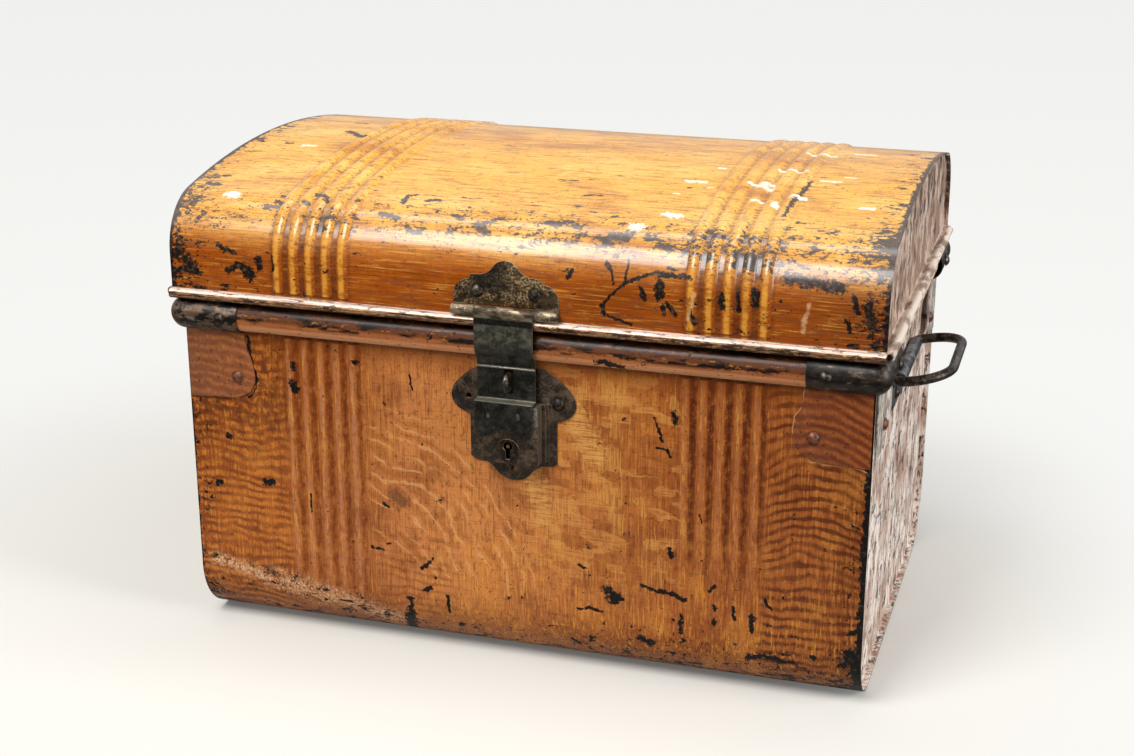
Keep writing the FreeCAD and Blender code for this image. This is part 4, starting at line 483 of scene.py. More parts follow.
# ---------------------------------------------------------------- the body's end panels
# Flat panels of the same sheet, flanged into the body's lip, each with its own bead and worn almost
# white: the brown glaze has gone but for fine dashes, and the bead is rubbed golden pink.
panels = Finish("worn_scumble_on_body_ends", "#C9AE9E")
x, z = panels.x, panels.z
cloud = panels.cloud(42, seed=3.0)
panels.lay("#F3E6DB", cloud.rise(0.4, 0.56))
panels.lay("#5F3F2E", panels.patches(3.4, 0.545, (1, 1, 4.5), 5.0, soft=0.04) * 0.85)
panels.lay("#8A5638", panels.patches(22, 0.58, (1, 1, 1.6), 7.0, soft=0.05) * 0.75)
panels.lay("#3A3430", panels.patches(14, 0.6, (1, 1, 1.5), 9.0, soft=0.02) * 0.9)
bead = z.rise(bead_foot - 0.0010, bead_foot + 0.0020)
golden = panels.mixed("#9A7050", "#EED4B8", panels.cloud(9, seed=13.0).rise(0.38, 0.56))
panels.lay(golden, bead)
soot = panels.patches(7, 0.6, (1, 2.5, 1), 17.0, bead * 0.03, 0.03)
panels.lay("#2A221D", soot)
inside = x.size().rise(0.24895, 0.24865)
panels.lay(buff_lining(panels), inside)
dents = panels.cloud(50, seed=19.0, detail=1.0) * 1.6
panels.end(soot * 0.3, cloud * 0.2 + 0.4, soot * -0.3 + dents, relief, 0.3, 0.1)
panels.dress("body_end_right", "body_end_left")

# ---------------------------------------------------------------- the lid's sheet
# Front, crown and back of the lid in one sheet, its lower edge rolled round a wire.  The scumble is
# golden, its grain runs lengthways, and the shoulder is scuffed to black metal.
lid_ribs = (-0.1498, 0.1534)
lid_foot = 0.270
lid_height = 0.090
roll_top = 0.2708
crown_foot = 0.320
lid = Finish("oak_scumble_on_lid_sheet", "#9C490C")
x, y, z = lid.x, lid.y, lid.z
up = z.rise(0.300, 0.336)
ramp = add(lid.tree, "ShaderNodeValToRGB", {0: ((z - lid_foot) * (1 / lid_height)).socket}, out=None)
stops = [(0.0, "#964A10"), (1.0, "#E4A644"), (0.2, "#A44E08"), (0.35, "#A04C08"), (0.46, "#B86A16"),
         (0.56, "#D08E2E"), (0.75, "#E0A23E")]
for index, (at, code) in enumerate(stops):
    stop = ramp.color_ramp.elements[index] if index < 2 else ramp.color_ramp.elements.new(at)
    stop.color = ink(code)
lid.colour = ramp.outputs[0]
lid.lay("#7A3A12", x.rise(0.17, 0.24) * up.rest() * 0.6)
cloud = lid.cloud(45, (1.8, 1, 1), 2.0)
mottle = lid.cloud(4.5, (2.2, 1, 1), 41.0, 7.0, 0.72)
lid.lay("#F0C268", cloud.rise(0.48, 0.66) * up * 0.6)
lid.lay("#7E3A0A", cloud.rise(0.5, 0.32) * up.rest() * 0.5)
lid.lay("#A5601E", cloud.rise(0.47, 0.33) * up * 0.6)
lid.lay("#7A3E12", mottle.rise(0.46, 0.33) * 0.55)
lid.lay("#EDBE6A", mottle.rise(0.54, 0.7) * (up * 0.3 + 0.2))
grain = lid.cloud(1.1, (26, 1, 1), 3.0, 3.0)
upright = lid.cloud(0.9, (1, 16, 16), 4.0, 2.0)
lid.lay("#6C320C", grain.rise(0.48, 0.28) * 0.6)
lid.lay("#F0B858", grain.rise(0.54, 0.74) * 0.5)
lid.lay("#7F4212", upright.rise(0.46, 0.28) * 0.3)
streaks = lid.patches(2.4, 0.575, (10, 1, 1), 5.0, soft=0.04)
lid.lay("#70402C", streaks * 0.6)
back_haze = lid.patches(18, 0.52, (4, 1, 1), 6.0, soft=0.08) * y.rise(-0.05, 0.06)
lid.lay("#9A5C30", back_haze * 0.55)
# the ribs: painted shade in their valleys and painted highlight on their crests at the front, and thin
# lines of painted shade in the valleys on the crown
for middle in lid_ribs:
    from_middle = x - middle
    group = from_middle.within(-0.0305, 0.0305, 0.0025)
    low = group * z.rise(0.340, 0.318)
    valley = (from_middle - 0.0063).waves(rib_pitch)
    crest = (from_middle + 0.0004).waves(rib_pitch)
    lid.lay("#6A3416", valley.rise(0.5, 0.95) * low * (mottle.rise(0.6, 0.42) * 0.5 + 0.45))
    lid.lay("#8A5A2C", valley.rise(0.8, 1.0) * group * up * (grain.rise(0.6, 0.4) * 0.5 + 0.25))
    lid.lay("#E2A03C", crest.rise(0.55, 1.0) * low * (mottle.rise(0.38, 0.56) * 0.6 + 0.25))
lid.lay("#4E2C18", lid.patches(1.9, 0.625, seed=7.0, soft=0.03) * 0.7)
shoulder = z.within(0.3175, 0.339, 0.006) * y.rise(-0.09, -0.13) * (x.rise(-0.13, -0.08) * 0.035 + 0.05)
reach = x.size()
ends = reach.rise(0.218, 0.262) * 0.085
left_front = x.rise(-0.17, -0.19) * z.rise(0.322, 0.3) * 0.035
right_front = x.rise(0.21, 0.25) * z.rise(0.32, 0.29) * 0.045
ribs_worn = ((x - lid_ribs[1]).within(-0.036, 0.036, 0.004) * 0.04
             + (x - lid_ribs[0]).within(-0.034, 0.034, 0.004) * 0.025)
boost = shoulder + ends + left_front + right_front + ribs_worn * z.rise(0.345, 0.33)
chips = lid.patches(9, 0.66, (1.8, 1, 1), 11.0, boost)
small_chips = lid.patches(4.0, 0.665, (1.6, 1, 1), 13.0, boost)
tiny_chips = lid.patches(2.2, 0.675, (1.6, 1, 1), 15.0, boost)
edge_line = (reach + lid.cloud(7, seed=17.0, detail=6.0, roughness=0.7) * 0.013).rise(0.2634, 0.2640)
front_marks = lid.strokes(x, z, [
    (114, 310, 103, 311, 1.2), (103, 311, 92, 307, 1.0), (92, 307, 82, 302, 1.2),
    (82, 302, 73, 294, 1.0), (73, 294, 66, 286, 1.1), (66, 286, 68, 280, 1.5), (70, 280, 76, 277, 1.0),
    (76, 277, 87, 274, 0.8), (68, 315, 72, 310, 1.6), (72, 310, 74, 302, 0.9), (83, 318, 83, 304, 0.9),
    (94, 300, 96, 294, 2.0), (106, 304, 107, 296, 3.4), (109, 290, 109, 284, 1.3),
    (112, 291, 118, 284, 1.9), (106, 310, 127, 310, 1.5), (128, 288, 131, 280, 1.6),
    (192, 315, 228, 311, 3.6), (-222, 305, -208, 300, 1.7), (-214, 287, -207, 291, 2.4),
    (-203, 290, -196, 284, 4.2), (-190, 297, -188, 290, 2.6), (-247, 294, -240, 284, 3.4),
    (246, 302, 249, 288, 3.2), (236, 306, 240, 296, 1.6), (-178, 300, -178, 290, 1.4),
    (149, 300, 150, 292, 2.2), (160, 304, 161, 290, 1.4), (171, 306, 172, 296, 2.6),
    (44, 309, 42, 303, 1.4), (233, 290, 236, 282, 1.8),
], 32.0) * y.rise(-0.14, -0.15)
top_marks = lid.strokes(x, y, [
    (-197, 9, -176, -10, 3.2), (-209, 51, -200, 50, 1.6), (-228, -40, -225, -40, 2.0),
    (-90, -142, -91, -131, 2.2), (-91, -131, -86, -128, 1.6), (-75, -136, -66, -134, 2.0),
    (-103, -155, -88, -158, 2.0), (66, -160, 80, -158, 3.6), (184, -49, 182, -82, 1.4),
    (182, -82, 179, -105, 1.9), (179, -108, 179, -122, 1.6), (-156, -140, -146, -148, 2.4),
    (-184, -152, -178, -155, 2.0), (20, -152, 38, -150, 1.8), (34, -107, 46, -106, 1.4),
    (7, -82, 20, -81, 1.2),
], 34.0) * z.rise(crown_foot - 0.002, crown_foot + 0.002)
chipped = chips.larger(small_chips).larger(tiny_chips)
bare = chipped.larger(edge_line).larger(front_marks).larger(top_marks)
steel = lid.mixed("#1A110C", "#5A4638", lid.cloud(3, seed=19.0).rise(0.46, 0.72))
steel = lid.mixed(steel, "#6B5C56", up * 0.4)
lid.lay(steel, bare)
# splashes of white house paint near the right ribs, and a pale smear on the front
splashes = lid.strokes(x, y, [
    (98, -66, 110, -66, 2.4), (112, -29, 117, -30, 1.5), (144, -65, 160, -64, 2.4),
    (152, -70, 159, -73, 3.4), (158, -28, 176, -27, 2.2), (178, -87, 185, -85, 3.0),
    (152, -100, 158, -99, 1.9), (169, -107, 169, -101, 2.2), (98, -129, 108, -131, 3.0),
    (80, -150, 86, -149, 3.0), (168, 32, 187, 34, 2.5), (200, 55, 214, 54, 2.6),
    (191, -45, 204, -44, 1.8), (206, -32, 214, -33, 1.2), (227, -96, 235, -96, 1.8),
    (-212, -43, -205, -43, 2.6), (-225, -148, -218, -148, 3.2), (94, -93, 99, -93, 0.9),
    (116, -77, 119, -76, 1.0),
], 36.0, 5.0, 0.4) * z.rise(crown_foot - 0.002, crown_foot + 0.002)
lid.lay("#F1E8D8", splashes * (mottle.rise(0.36, 0.52) * 0.5 + 0.45))
smear = lid.strokes(x, z, [(208, 299, 204, 280, 1.5), (131, 300, 127, 282, 1.1)], 38.0, 3.0, 0.5)
lid.lay("#DDB083", smear * y.rise(-0.14, -0.15) * (mottle.rise(0.38, 0.55) * 0.4 + 0.2))
# the rolled edge: brown steel, its top rubbed in fine lengthwise streaks under a painted highlight, its
# underside soot and painted shade
roll = z.rise(roll_top + 0.0004, roll_top - 0.0004)
lined = lid.cloud(1.0, (40, 1, 1), 30.0, 3.0)
lid.lay(lid.mixed("#22130A", "#6E4A30", lid.cloud(5, (4, 1, 1), 29.0).rise(0.4, 0.62)), roll)
lid.lay("#B4803C", roll * lid.patches(1.8, 0.6, (3, 1, 1), 31.0, soft=0.03) * 0.8)
# the top of the roll: rubbed streaks and painted highlight
top_of_roll = roll * z.rise(roll_top - 0.0064, roll_top - 0.0048)
lid.lay("#B98A68", top_of_roll * (lined.rise(0.46, 0.60) * 0.75 + 0.08))
# a painted highlight line along the top of the roll
roll_highlight = roll * z.rise(roll_top - 0.0024, roll_top - 0.0012)
lid.lay("#F4DED0", roll_highlight * (lined.rise(0.34, 0.48) * 0.7 + 0.25))
lid.lay("#2A170D", top_of_roll * lid.patches(3.0, 0.57, (3, 1, 1), 33.0, soft=0.03) * 0.8)
# soot and painted shade on the roll's underside
roll_soot_and_shade = roll * lid.patches(2.6, 0.55, (4, 1, 1), 35.0, soft=0.03)
lid.lay("#170D07", roll_soot_and_shade * z.rise(roll_top - 0.0014, roll_top - 0.0028) * 0.75)
lid.lay("#CFA468", roll * lid.patches(1.6, 0.60, (3, 1, 1), 37.0, soft=0.02) * 0.8)
outward = lid.ny * y + lid.nz * (z - 0.25)
inside = outward.rise(0.004, -0.004) * z.rise(roll_top - 0.0004, roll_top + 0.0004)
lid.lay(buff_lining(lid), inside)
bare = bare * inside.rest() * splashes.rest()
dents = lid.cloud(45, seed=37.0, detail=1.0) * 1.6 + lid.cloud(15, seed=39.0, detail=1.0) * 0.5
metal = (bare * 0.35).larger(roll * 0.2)
height = grain * 0.1 + chips * -0.35 + dents
varnish = z.within(0.312, 0.343, 0.01) * inside.rest() * 0.8 + 0.08
lid.end(metal, bare * 0.16 + cloud * 0.12 + 0.3, height, relief, 0.16, varnish)
lid.dress("lid_wrap")

# ---------------------------------------------------------------- the lid's ends and edge wires
# End panels set back inside the lid's lip, worn like the body's ends; their lower edge is rolled
# round a wire too and rubbed cream-white.  The wires are plain drawn steel.
lid_ends = Finish("worn_scumble_on_lid_ends", "#A0836F")
x, z = lid_ends.x, lid_ends.z
lid_ends.lay("#D6BDAC", lid_ends.cloud(30, seed=3.0).rise(0.42, 0.58))
lid_ends.lay("#5C3D2D", lid_ends.patches(3.4, 0.54, (1, 1, 4.0), 5.0, soft=0.05) * 0.85)
near_lip = z.rise(0.30, 0.345) * 0.06
lid_ends.lay("#322A26", lid_ends.patches(16, 0.58, (1, 1, 1.3), 7.0, near_lip, 0.03) * 0.85)
roll = z.rise(roll_top + 0.0004, roll_top - 0.0004)
cream = lid_ends.mixed("#8A705E", "#E4D4C6", lid_ends.cloud(7, (1, 3, 1), 11.0).rise(0.38, 0.56))
lid_ends.lay(cream, roll)
lid_ends.lay("#2E2018", roll * z.rise(0.2662, 0.2650) * 0.8)
inside = x.size().rise(0.2564, 0.2561)
lid_ends.lay(buff_lining(lid_ends), inside)
dents = lid_ends.cloud(50, seed=19.0, detail=1.0) * 1.5
lid_ends.end(0.05, lid_ends.cloud(12, seed=21.0) * 0.2 + 0.4, dents, relief, 0.3, 0.1)
lid_ends.dress("lid_end_right", "lid_end_left")

wires = Finish("drawn_steel_wire_rusted", "#2B1A12")
wires.lay("#5F4A3B", wires.cloud(3, seed=3.0).rise(0.4, 0.65))
wires.end(0.6, wires.cloud(4, seed=7.0) * 0.2 + 0.4, wires.cloud(1.5, seed=5.0), 0.0002)
wires.dress("lid_edge_wires")


# ---------------------------------------------------------------- corner brackets
# Pressed steel corners riveted over the bead: a cap with a ball corner worn to dark bare metal, and
# leaves that carry the same brown scumble as the body.  Their sheared edges are a little rounded.
def softened(name, body_name, width, finish):
    """Stands for a pressed node: the same shape with its sharp edges rounded over `width` metres."""
    shape = bmesh.new()
    shape.from_mesh(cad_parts[name].data)
    bmesh.ops.remove_doubles(shape, verts=shape.verts[:], dist=2e-6)
    bmesh.ops.dissolve_limit(shape, angle_limit=math.radians(0.5), verts=shape.verts[:],
                             edges=shape.edges[:])
    mesh = bpy.data.meshes.new(f"{name}_soft")
    shape.to_mesh(mesh)
    shape.free()
    mesh.shade_smooth()
    mesh.materials.append(finish.material)
    draft = bpy.data.objects.new(f"{name}_draft", mesh)
    scene.collection.objects.link(draft)
    rounding = draft.modifiers.new("rounding", "BEVEL")
    rounding.width = width
    rounding.segments = 2
    rounding.limit_method = "ANGLE"
    rounding.angle_limit = math.radians(38)
    rounding.use_clamp_overlap = True
    rounding.harden_normals = True
    done = bpy.data.meshes.new_from_object(draft.evaluated_get(bpy.context.evaluated_depsgraph_get()))
    bpy.data.objects.remove(draft)
    for polygon in done.polygons:
        polygon.material_index = 0
    piece = bpy.data.objects.new(f"{name}_pressed", done)
    scene.collection.objects.link(piece)
    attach(piece, body_name)
    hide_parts(name)


corners = Finish("scumble_on_pressed_corners", "#8E5230")
x, z = corners.x, corners.z
right = x.rise(-0.05, 0.05)
corners.lay("#86421C", right)
mottle = corners.cloud(4.2, (1, 1, 1.6), 41.0, 7.0, 0.72)
corners.lay("#5F2C14", mottle.rise(0.47, 0.33) * 0.6)
corners.lay("#BE7A4C", mottle.rise(0.54, 0.7) * 0.45)
wobble = corners.cloud(55, seed=6.0, detail=2.0) * 0.022 + corners.cloud(11, seed=8.0, detail=3.0) * 0.006
strength = corners.cloud(17, seed=9.0).rise(0.36, 0.6)
comb = corners.cloud(0.9, (1, 1, 20), 2.0, 2.0)
combed_sides(corners, comb, wobble, strength, right.rest() * 0.6, right * 0.85)
corners.lay("#2E1A10", corners.patches(3, 0.62, seed=5.0, soft=0.03) * 0.9)
on_end = x.size().rise(0.25415, 0.25425)
pale = corners.mixed("#8D8580", "#D8CBBE", corners.cloud(14, seed=7.0).rise(0.4, 0.6))
pale = corners.mixed(pale, "#3E322B", corners.patches(5, 0.57, (1, 1, 2), 9.0, soft=0.04))
corners.lay(pale, on_end)
cap = corners.mixed("#5A4534", "#2C221A", right)
cap = corners.mixed(cap, "#94806C", corners.cloud(4, (3, 3, 1), 11.0).rise(0.54, 0.66) * 0.45)
cap = corners.mixed(cap, "#0F0B08", corners.patches(6, 0.51, (2, 2, 1), 13.0, soft=0.04))
upper = z.rise(bead_foot - 0.0015, bead_foot - 0.0005)
corners.lay(cap, upper)
dents = corners.cloud(14, seed=17.0, detail=2.0) * 1.2
corners.end(upper * 0.4, corners.cloud(6, seed=19.0) * 0.25 + 0.34, dents, relief, 0.3, 0.1)
for side_name in ("front_right", "front_left", "back_right", "back_left"):
    softened(f"bracket_{side_name}", "body", 0.00018, corners)

# ---------------------------------------------------------------- rivets
# Soft steel rivets with hammered round heads, their tails peened over inside.  The ones through the
# brackets' leaves were painted over with the body.
rivets = Finish("hammered_rivet_steel", "#1E1712")
x, z = rivets.x, rivets.z
rivets.lay("#5E554B", rivets.cloud(3, seed=3.0).rise(0.46, 0.68))
painted = z.within(0.1985, 0.2105, 0.0003) * x.size().rise(0.10, 0.12)
rivets.lay(rivets.mixed("#3A2214", "#7E4424", rivets.cloud(4, seed=7.0).rise(0.42, 0.6)), painted)
hammered = rivets.cloud(3.0, seed=5.0)
rivets.end(painted * -0.5 + 0.75, rivets.cloud(2, seed=9.0) * 0.2 + 0.34, hammered, relief / 2)


def rivet(name, shank, seed):
    """A rivet along +Z with its head's seat at the origin, turned from a profile and hammered."""
    profile = [(0.0, 2.95), (1.3, 2.85), (2.5, 2.4), (3.5, 1.7), (4.3, 0.85), (4.75, 0.25), (4.7, 0.02),
               (2.0, 0.0), (2.0, -shank), (2.6, -shank - 0.1), (2.3, -shank - 0.6), (0.0, -shank - 0.8)]
    dice = random.Random(seed)
    around = 20
    shape = bmesh.new()
    rings = []
    for radius, height in profile:
        if radius == 0.0:
            rings.append([shape.verts.new((0.0, 0.0, height / 1000))])
            continue
        ring = []
        for step in range(around):
            angle = 2 * math.pi * step / around
            dent = dice.uniform(-0.06, 0.03) if height > 0.1 else 0.0
            reach = radius + dent
            ring.append(shape.verts.new((reach * math.cos(angle) / 1000, reach * math.sin(angle) / 1000,
                                         (height + dent) / 1000)))
        rings.append(ring)
    for above, below in zip(rings, rings[1:]):
        for step in range(around):
            after = (step + 1) % around
            corners_of_face = [above[step % len(above)], below[step % len(below)],
                               below[after % len(below)], above[after % len(above)]]
            unique = list(dict.fromkeys(corners_of_face))
            shape.faces.new(unique)
    bmesh.ops.recalc_face_normals(shape, faces=shape.faces[:])
    mesh = bpy.data.meshes.new(name)
    shape.to_mesh(mesh)
    shape.free()
    mesh.shade_smooth()
    holder = bpy.data.objects.new(name, mesh)
    scene.collection.objects.link(holder)
    return holder


head_height = 0.003


def rivet_seats(node):
    """Seat and outward direction of each rivet of a group, read from the group's own solids."""
    shape = bmesh.new()
    shape.from_mesh(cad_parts[node].data)
    bmesh.ops.remove_doubles(shape, verts=shape.verts[:], dist=2e-6)
    left = set(shape.verts)
    seats = []
    while left:
        island = {left.pop()}
        edge = list(island)
        while edge:
            for link in edge.pop().link_edges:
                for vertex in link.verts:
                    if vertex in left:
                        left.discard(vertex)
                        island.add(vertex)
                        edge.append(vertex)
        low = Vector([min(v.co[i] for v in island) for i in range(3)])
        high = Vector([max(v.co[i] for v in island) for i in range(3)])
        middle = (low + high) / 2
        spread = high - low
        axis = 0 if abs(spread.y - spread.z) < 1e-4 else 1
        sign = 1.0 if middle[axis] > 0 else -1.0
        facing = Vector((sign, 0, 0)) if axis == 0 else Vector((0, sign, 0))
        seat = middle.copy()
        seat[axis] = (high[axis] if sign > 0 else low[axis]) - sign * head_height
        seats.append((seat, facing))
    shape.free()
    return sorted(seats, key=lambda item: tuple(round(value, 5) for value in item[0]))


rivet_tree = bpy.data.node_groups.new("rivets_on_seats", "GeometryNodeTree")
rivet_tree.interface.new_socket("Seats", in_out="INPUT", socket_type="NodeSocketGeometry")
rivet_tree.interface.new_socket("Short rivet", in_out="INPUT", socket_type="NodeSocketObject")
rivet_tree.interface.new_socket("Long rivet", in_out="INPUT", socket_type="NodeSocketObject")
rivet_tree.interface.new_socket("Finish", in_out="INPUT", socket_type="NodeSocketMaterial")
rivet_tree.interface.new_socket("Seed", in_out="INPUT", socket_type="NodeSocketInt")
rivet_tree.interface.new_socket("Rivets", in_out="OUTPUT", socket_type="NodeSocketGeometry")
given = add(rivet_tree, "NodeGroupInput", out=None)
long_one = add(rivet_tree, "GeometryNodeInputNamedAttribute", {"Name": "long"}, data_type="BOOLEAN")
short_one = add(rivet_tree, "FunctionNodeBooleanMath", {0: long_one}, operation="NOT")
facing = add(rivet_tree, "GeometryNodeInputNamedAttribute", {"Name": "facing"},
             data_type="FLOAT_VECTOR")
aligned = add(rivet_tree, "FunctionNodeAlignRotationToVector", {"Vector": facing}, axis="Z")
spin = add(rivet_tree, "FunctionNodeRandomValue",
           {2: 0.0, 3: 2 * math.pi, "Seed": given.outputs["Seed"]}, out=1, data_type="FLOAT")
about = add(rivet_tree, "FunctionNodeAxisAngleToRotation", {"Axis": (0.0, 0.0, 1.0), "Angle": spin})
turned = add(rivet_tree, "FunctionNodeRotateRotation", {0: aligned, 1: about}, rotation_space="LOCAL")
rows = add(rivet_tree, "GeometryNodeJoinGeometry", out=None)
for kind, chosen in (("Short rivet", short_one), ("Long rivet", long_one)):
    model = add(rivet_tree, "GeometryNodeObjectInfo",
                {"Object": given.outputs[kind], "As Instance": True}, out="Geometry")
    row = add(rivet_tree, "GeometryNodeInstanceOnPoints",
              {"Points": given.outputs["Seats"], "Selection": chosen, "Instance": model,
               "Rotation": turned})
    rivet_tree.links.new(row, rows.inputs[0])
real = add(rivet_tree, "GeometryNodeRealizeInstances", {0: rows.outputs[0]})
finished = add(rivet_tree, "GeometryNodeSetMaterial", {0: real, "Material": given.outputs["Finish"]})
add(rivet_tree, "NodeGroupOutput", {0: finished}, out=None)

short_rivet = rivet("short_rivet", 3.3, 5)
long_rivet = rivet("long_rivet", 7.2, 6)


def set_rivets(name, body_name, long_nodes, short_nodes):
    """Stands for whole groups of rivets: a hammered one on each seat, turned at random."""
    seats = [(seat, True) for node in long_nodes for seat in rivet_seats(node)]
    seats += [(seat, False) for node in short_nodes for seat in rivet_seats(node)]
    points = bpy.data.meshes.new(f"{name}_seats")
    points.from_pydata([seat[0] for seat, _ in seats], [], [])
    facing_of = points.attributes.new("facing", "FLOAT_VECTOR", "POINT")
    long_of = points.attributes.new("long", "BOOLEAN", "POINT")
    for index, (seat, is_long) in enumerate(seats):
        facing_of.data[index].vector = seat[1]
        long_of.data[index].value = is_long
    draft = bpy.data.objects.new(f"{name}_draft", points)
    scene.collection.objects.link(draft)
    setter = draft.modifiers.new("rivets", "NODES")
    setter.node_group = rivet_tree
    inputs = {"Short rivet": short_rivet, "Long rivet": long_rivet, "Finish": rivets.material, "Seed": 11}
    for item in rivet_tree.interface.items_tree:
        if item.in_out == "INPUT" and item.name in inputs:
            setter[item.identifier] = inputs[item.name]
    mesh = bpy.data.meshes.new_from_object(draft.evaluated_get(bpy.context.evaluated_depsgraph_get()))
    bpy.data.objects.remove(draft)
    piece = bpy.data.objects.new(name, mesh)
    scene.collection.objects.link(piece)
    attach(piece, body_name)
    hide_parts(*long_nodes, *short_nodes)


set_rivets("body_rivets_hammered", "body", ["bracket_end_rivets"],
           ["bracket_face_rivets", "lock_rivet", "handle_rivets", "hinge_body_rivets"])
set_rivets("lid_rivets_hammered", "lid", [], ["hasp_rivets", "hinge_lid_rivets"])
bpy.data.objects.remove(short_rivet)
bpy.data.objects.remove(long_rivet)

# ---------------------------------------------------------------- the lock
# A box lock on a pressed back plate, once japanned black and now worn to brown-black steel, with a
# bronze-brown escutcheon round the keyhole.  The staple is plain round steel.
japanned = Finish("worn_black_japan_on_steel", "#241C16")
japanned.lay("#564536", japanned.cloud(8, seed=3.0).rise(0.42, 0.66))
japanned.lay("#86683E", japanned.patches(1.2, 0.60, seed=5.0, soft=0.03) * 0.6)
japanned.lay("#0A0806", japanned.patches(9, 0.56, seed=9.0, soft=0.05) * 0.8)
edge = japanned.ny.size().rise(0.92, 0.6)
japanned.lay("#6F6558", edge * 0.6)
japanned.end(0.4, japanned.cloud(5, seed=11.0) * 0.25 + 0.3, japanned.cloud(2.2, seed=7.0), 0.0004, 0.4)
softened("lock_plate", "body", 0.00025, japanned)
softened("lock_case", "body", 0.0003, japanned)

bronze = Finish("dull_bronze_escutcheon", "#16110D")
bronze.lay("#40301F", bronze.cloud(4, seed=3.0).rise(0.42, 0.64))
# a painted highlight on the escutcheon's rim
bronze.lay("#8A7350", bronze.ny.size().rise(0.95, 0.65) * 0.7)
bronze.end(0.7, bronze.cloud(3, seed=7.0) * 0.2 + 0.32, bronze.cloud(1.2, seed=5.0), 0.0003)
softened("lock_escutcheon", "body", 0.0003, bronze)

bare_steel = Finish("bare_lock_steel", "#2A2520")
bare_steel.lay("#6B645A", bare_steel.cloud(5, seed=3.0).rise(0.4, 0.6))
bare_steel.end(0.85, bare_steel.cloud(3, seed=7.0) * 0.2 + 0.28, bare_steel.cloud(1.5, seed=5.0), 0.0003)
bare_steel.dress("lock_key_pin", "lock_bolt", "lock_staple", "hasp_pin", "hasp_catch_lugs")

# ---------------------------------------------------------------- the hasp
# A fancy-edged plate on the lid, speckled gold over black, carries the pin; the strap is blued steel
# rubbed on its top bend, with painted highlights on its folds and tab edge and painted shadow under the
# barrel.
def barrel_wear(coat):
    """The barrel of the hasp's hinge, rubbed to pale brown streaks on the plate and on the strap."""
    return coat.mixed("#3E3226", "#8F7F66", coat.cloud(4, (3, 1, 1), 7.0).rise(0.4, 0.62))


speckled = Finish("speckled_gilt_on_black_plate", "#463523")
x, z = speckled.x, speckled.z
worn_out = speckled.cloud(9, (1, 1, 1), 13.0, 4.0).rise(0.40, 0.54)
speckles = speckled.cloud(1.6, seed=3.0, detail=6.0, roughness=0.7).rise(0.47, 0.58)
speckled.lay("#B2966A", speckles * worn_out * 0.95)
middle_black = (x + 0.014).size().rise(0.022, 0.006) * z.rise(0.286, 0.293)
speckled.lay("#14100C", middle_black * 0.8)
speckled.lay("#17110B", speckled.patches(9, 0.56, seed=5.0, soft=0.05) * 0.85)
speckled.lay("#B7A68A", speckled.ny.size().rise(0.94, 0.6) * z.rise(0.2796, 0.2802) * 0.8)
barrel = z.rise(0.2796, 0.279)
barrel_paint = barrel_wear(speckled)
barrel_paint = speckled.mixed(barrel_paint, "#B09A6C", speckled.patches(1.6, 0.6, seed=8.0, soft=0.04))
speckled.lay(barrel_paint, barrel)
speckled.end(0.6, speckled.cloud(4, seed=11.0) * 0.25 + 0.28, speckled.cloud(2.2, seed=9.0), 0.0004)
softened("hasp_plate", "lid", 0.0002, speckled)

blued = Finish("blued_steel_strap", "#141412")
z = blued.z
blued.lay("#33322D", blued.cloud(8, seed=3.0).rise(0.4, 0.66))
rubbed = blued.cloud(5, seed=5.0, detail=6.0, roughness=0.65).rise(0.42, 0.62)
worn = blued.mixed("#3E3D36", "#716F60", rubbed)
blued.lay(worn, z.rise(0.244, 0.258) * 0.85)
knuckle = z.rise(roll_top + 0.0004, roll_top + 0.0014)
blued.lay(barrel_wear(blued), knuckle)
# painted shadow where the strap comes out under the barrel
blued.lay("#080706", z.within(0.2668, 0.2712, 0.0006) * 0.9)
# painted highlights along the strap's two folds
blued.lay("#8E897B", z.within(0.2340, 0.2354, 0.0005) * 0.6)
blued.lay("#8E897B", z.within(0.2106, 0.2117, 0.0004) * 0.7)
blued.lay("#8F8878", blued.nx.size().rise(0.3, 0.7) * 0.5)
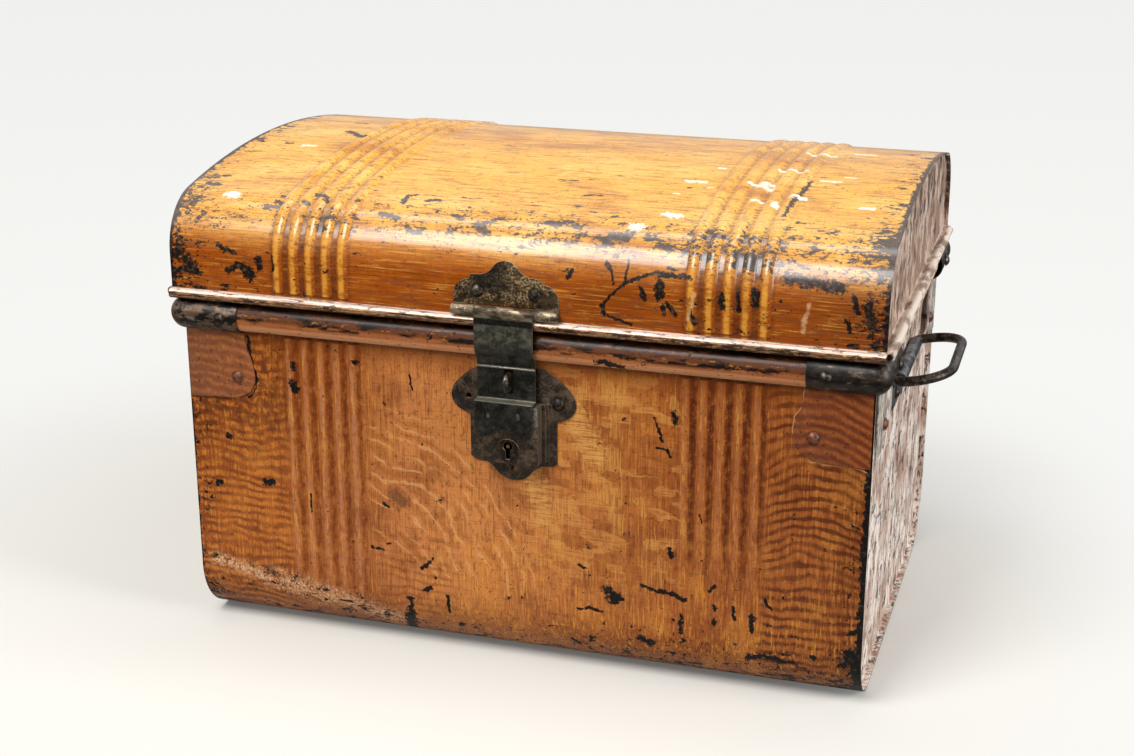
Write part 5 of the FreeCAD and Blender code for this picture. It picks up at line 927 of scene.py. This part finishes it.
# painted highlight along the lower edge of the tab
blued.lay("#6F6C62", blued.ny.size().rise(0.94, 0.6) * z.rise(0.205, 0.203) * 0.8)
blued.lay("#6E5C38", blued.patches(1.5, 0.6, seed=7.0, soft=0.03) * 0.4)
blued.end(0.7, blued.cloud(4, seed=11.0) * 0.25 + 0.26, blued.cloud(3, seed=9.0), 0.0004)
softened("hasp_strap", "hasp", 0.0002, blued)

# ---------------------------------------------------------------- handles
# Bails of round iron rod, dark brown where untouched and polished by hands, which turn in plates of
# steel rolled over them.  The plates keep worn grey paint with rust at its edges.
iron = Finish("hand_polished_iron_rod", "#1E1613")
iron.lay("#4E433C", iron.cloud(7, (1, 4, 1), 3.0).rise(0.42, 0.66))
iron.lay("#8F867E", iron.patches(3, 0.6, (1, 4, 1), 5.0, soft=0.06) * 0.5)
iron.end(0.8, iron.cloud(5, seed=9.0) * 0.25 + 0.28, iron.cloud(2.5, seed=7.0), 0.0004)
iron.dress("handle_right", "handle_left")

plates = Finish("worn_grey_paint_handle_plate", "#3C4048")
plates.lay("#7C7E82", plates.cloud(9, seed=3.0).rise(0.4, 0.62))
plates.lay("#2A1D15", plates.patches(4, 0.56, seed=5.0, soft=0.05))
plates.end(0.5, plates.cloud(6, seed=9.0) * 0.25 + 0.32, plates.cloud(3, seed=7.0), 0.0004)
softened("handle_plate_right", "body", 0.0002, plates)
softened("handle_plate_left", "body", 0.0002, plates)

# ---------------------------------------------------------------- lid hinges
# Cranked strap hinges behind the trunk, cut from plain steel strip, bent over the lid's rolled edge
# and riveted on.  The steel is browned with age, with patches of orange rust.
hinges = Finish("browned_hinge_steel", "#2A1C14")
hinges.lay("#6B5544", hinges.cloud(8, seed=3.0).rise(0.4, 0.62))
hinges.lay("#8E5A34", hinges.patches(4, 0.58, seed=5.0, soft=0.05) * 0.7)
hinges.end(0.65, hinges.cloud(6, seed=9.0) * 0.25 + 0.34, hinges.cloud(2.5, seed=7.0), 0.0004)
hinges.dress("hinge_pin_right", "hinge_pin_left")
for side_name in ("right", "left"):
    softened(f"hinge_body_leaf_{side_name}", "body", 0.0002, hinges)
    softened(f"hinge_lid_leaf_{side_name}", "lid", 0.0002, hinges)
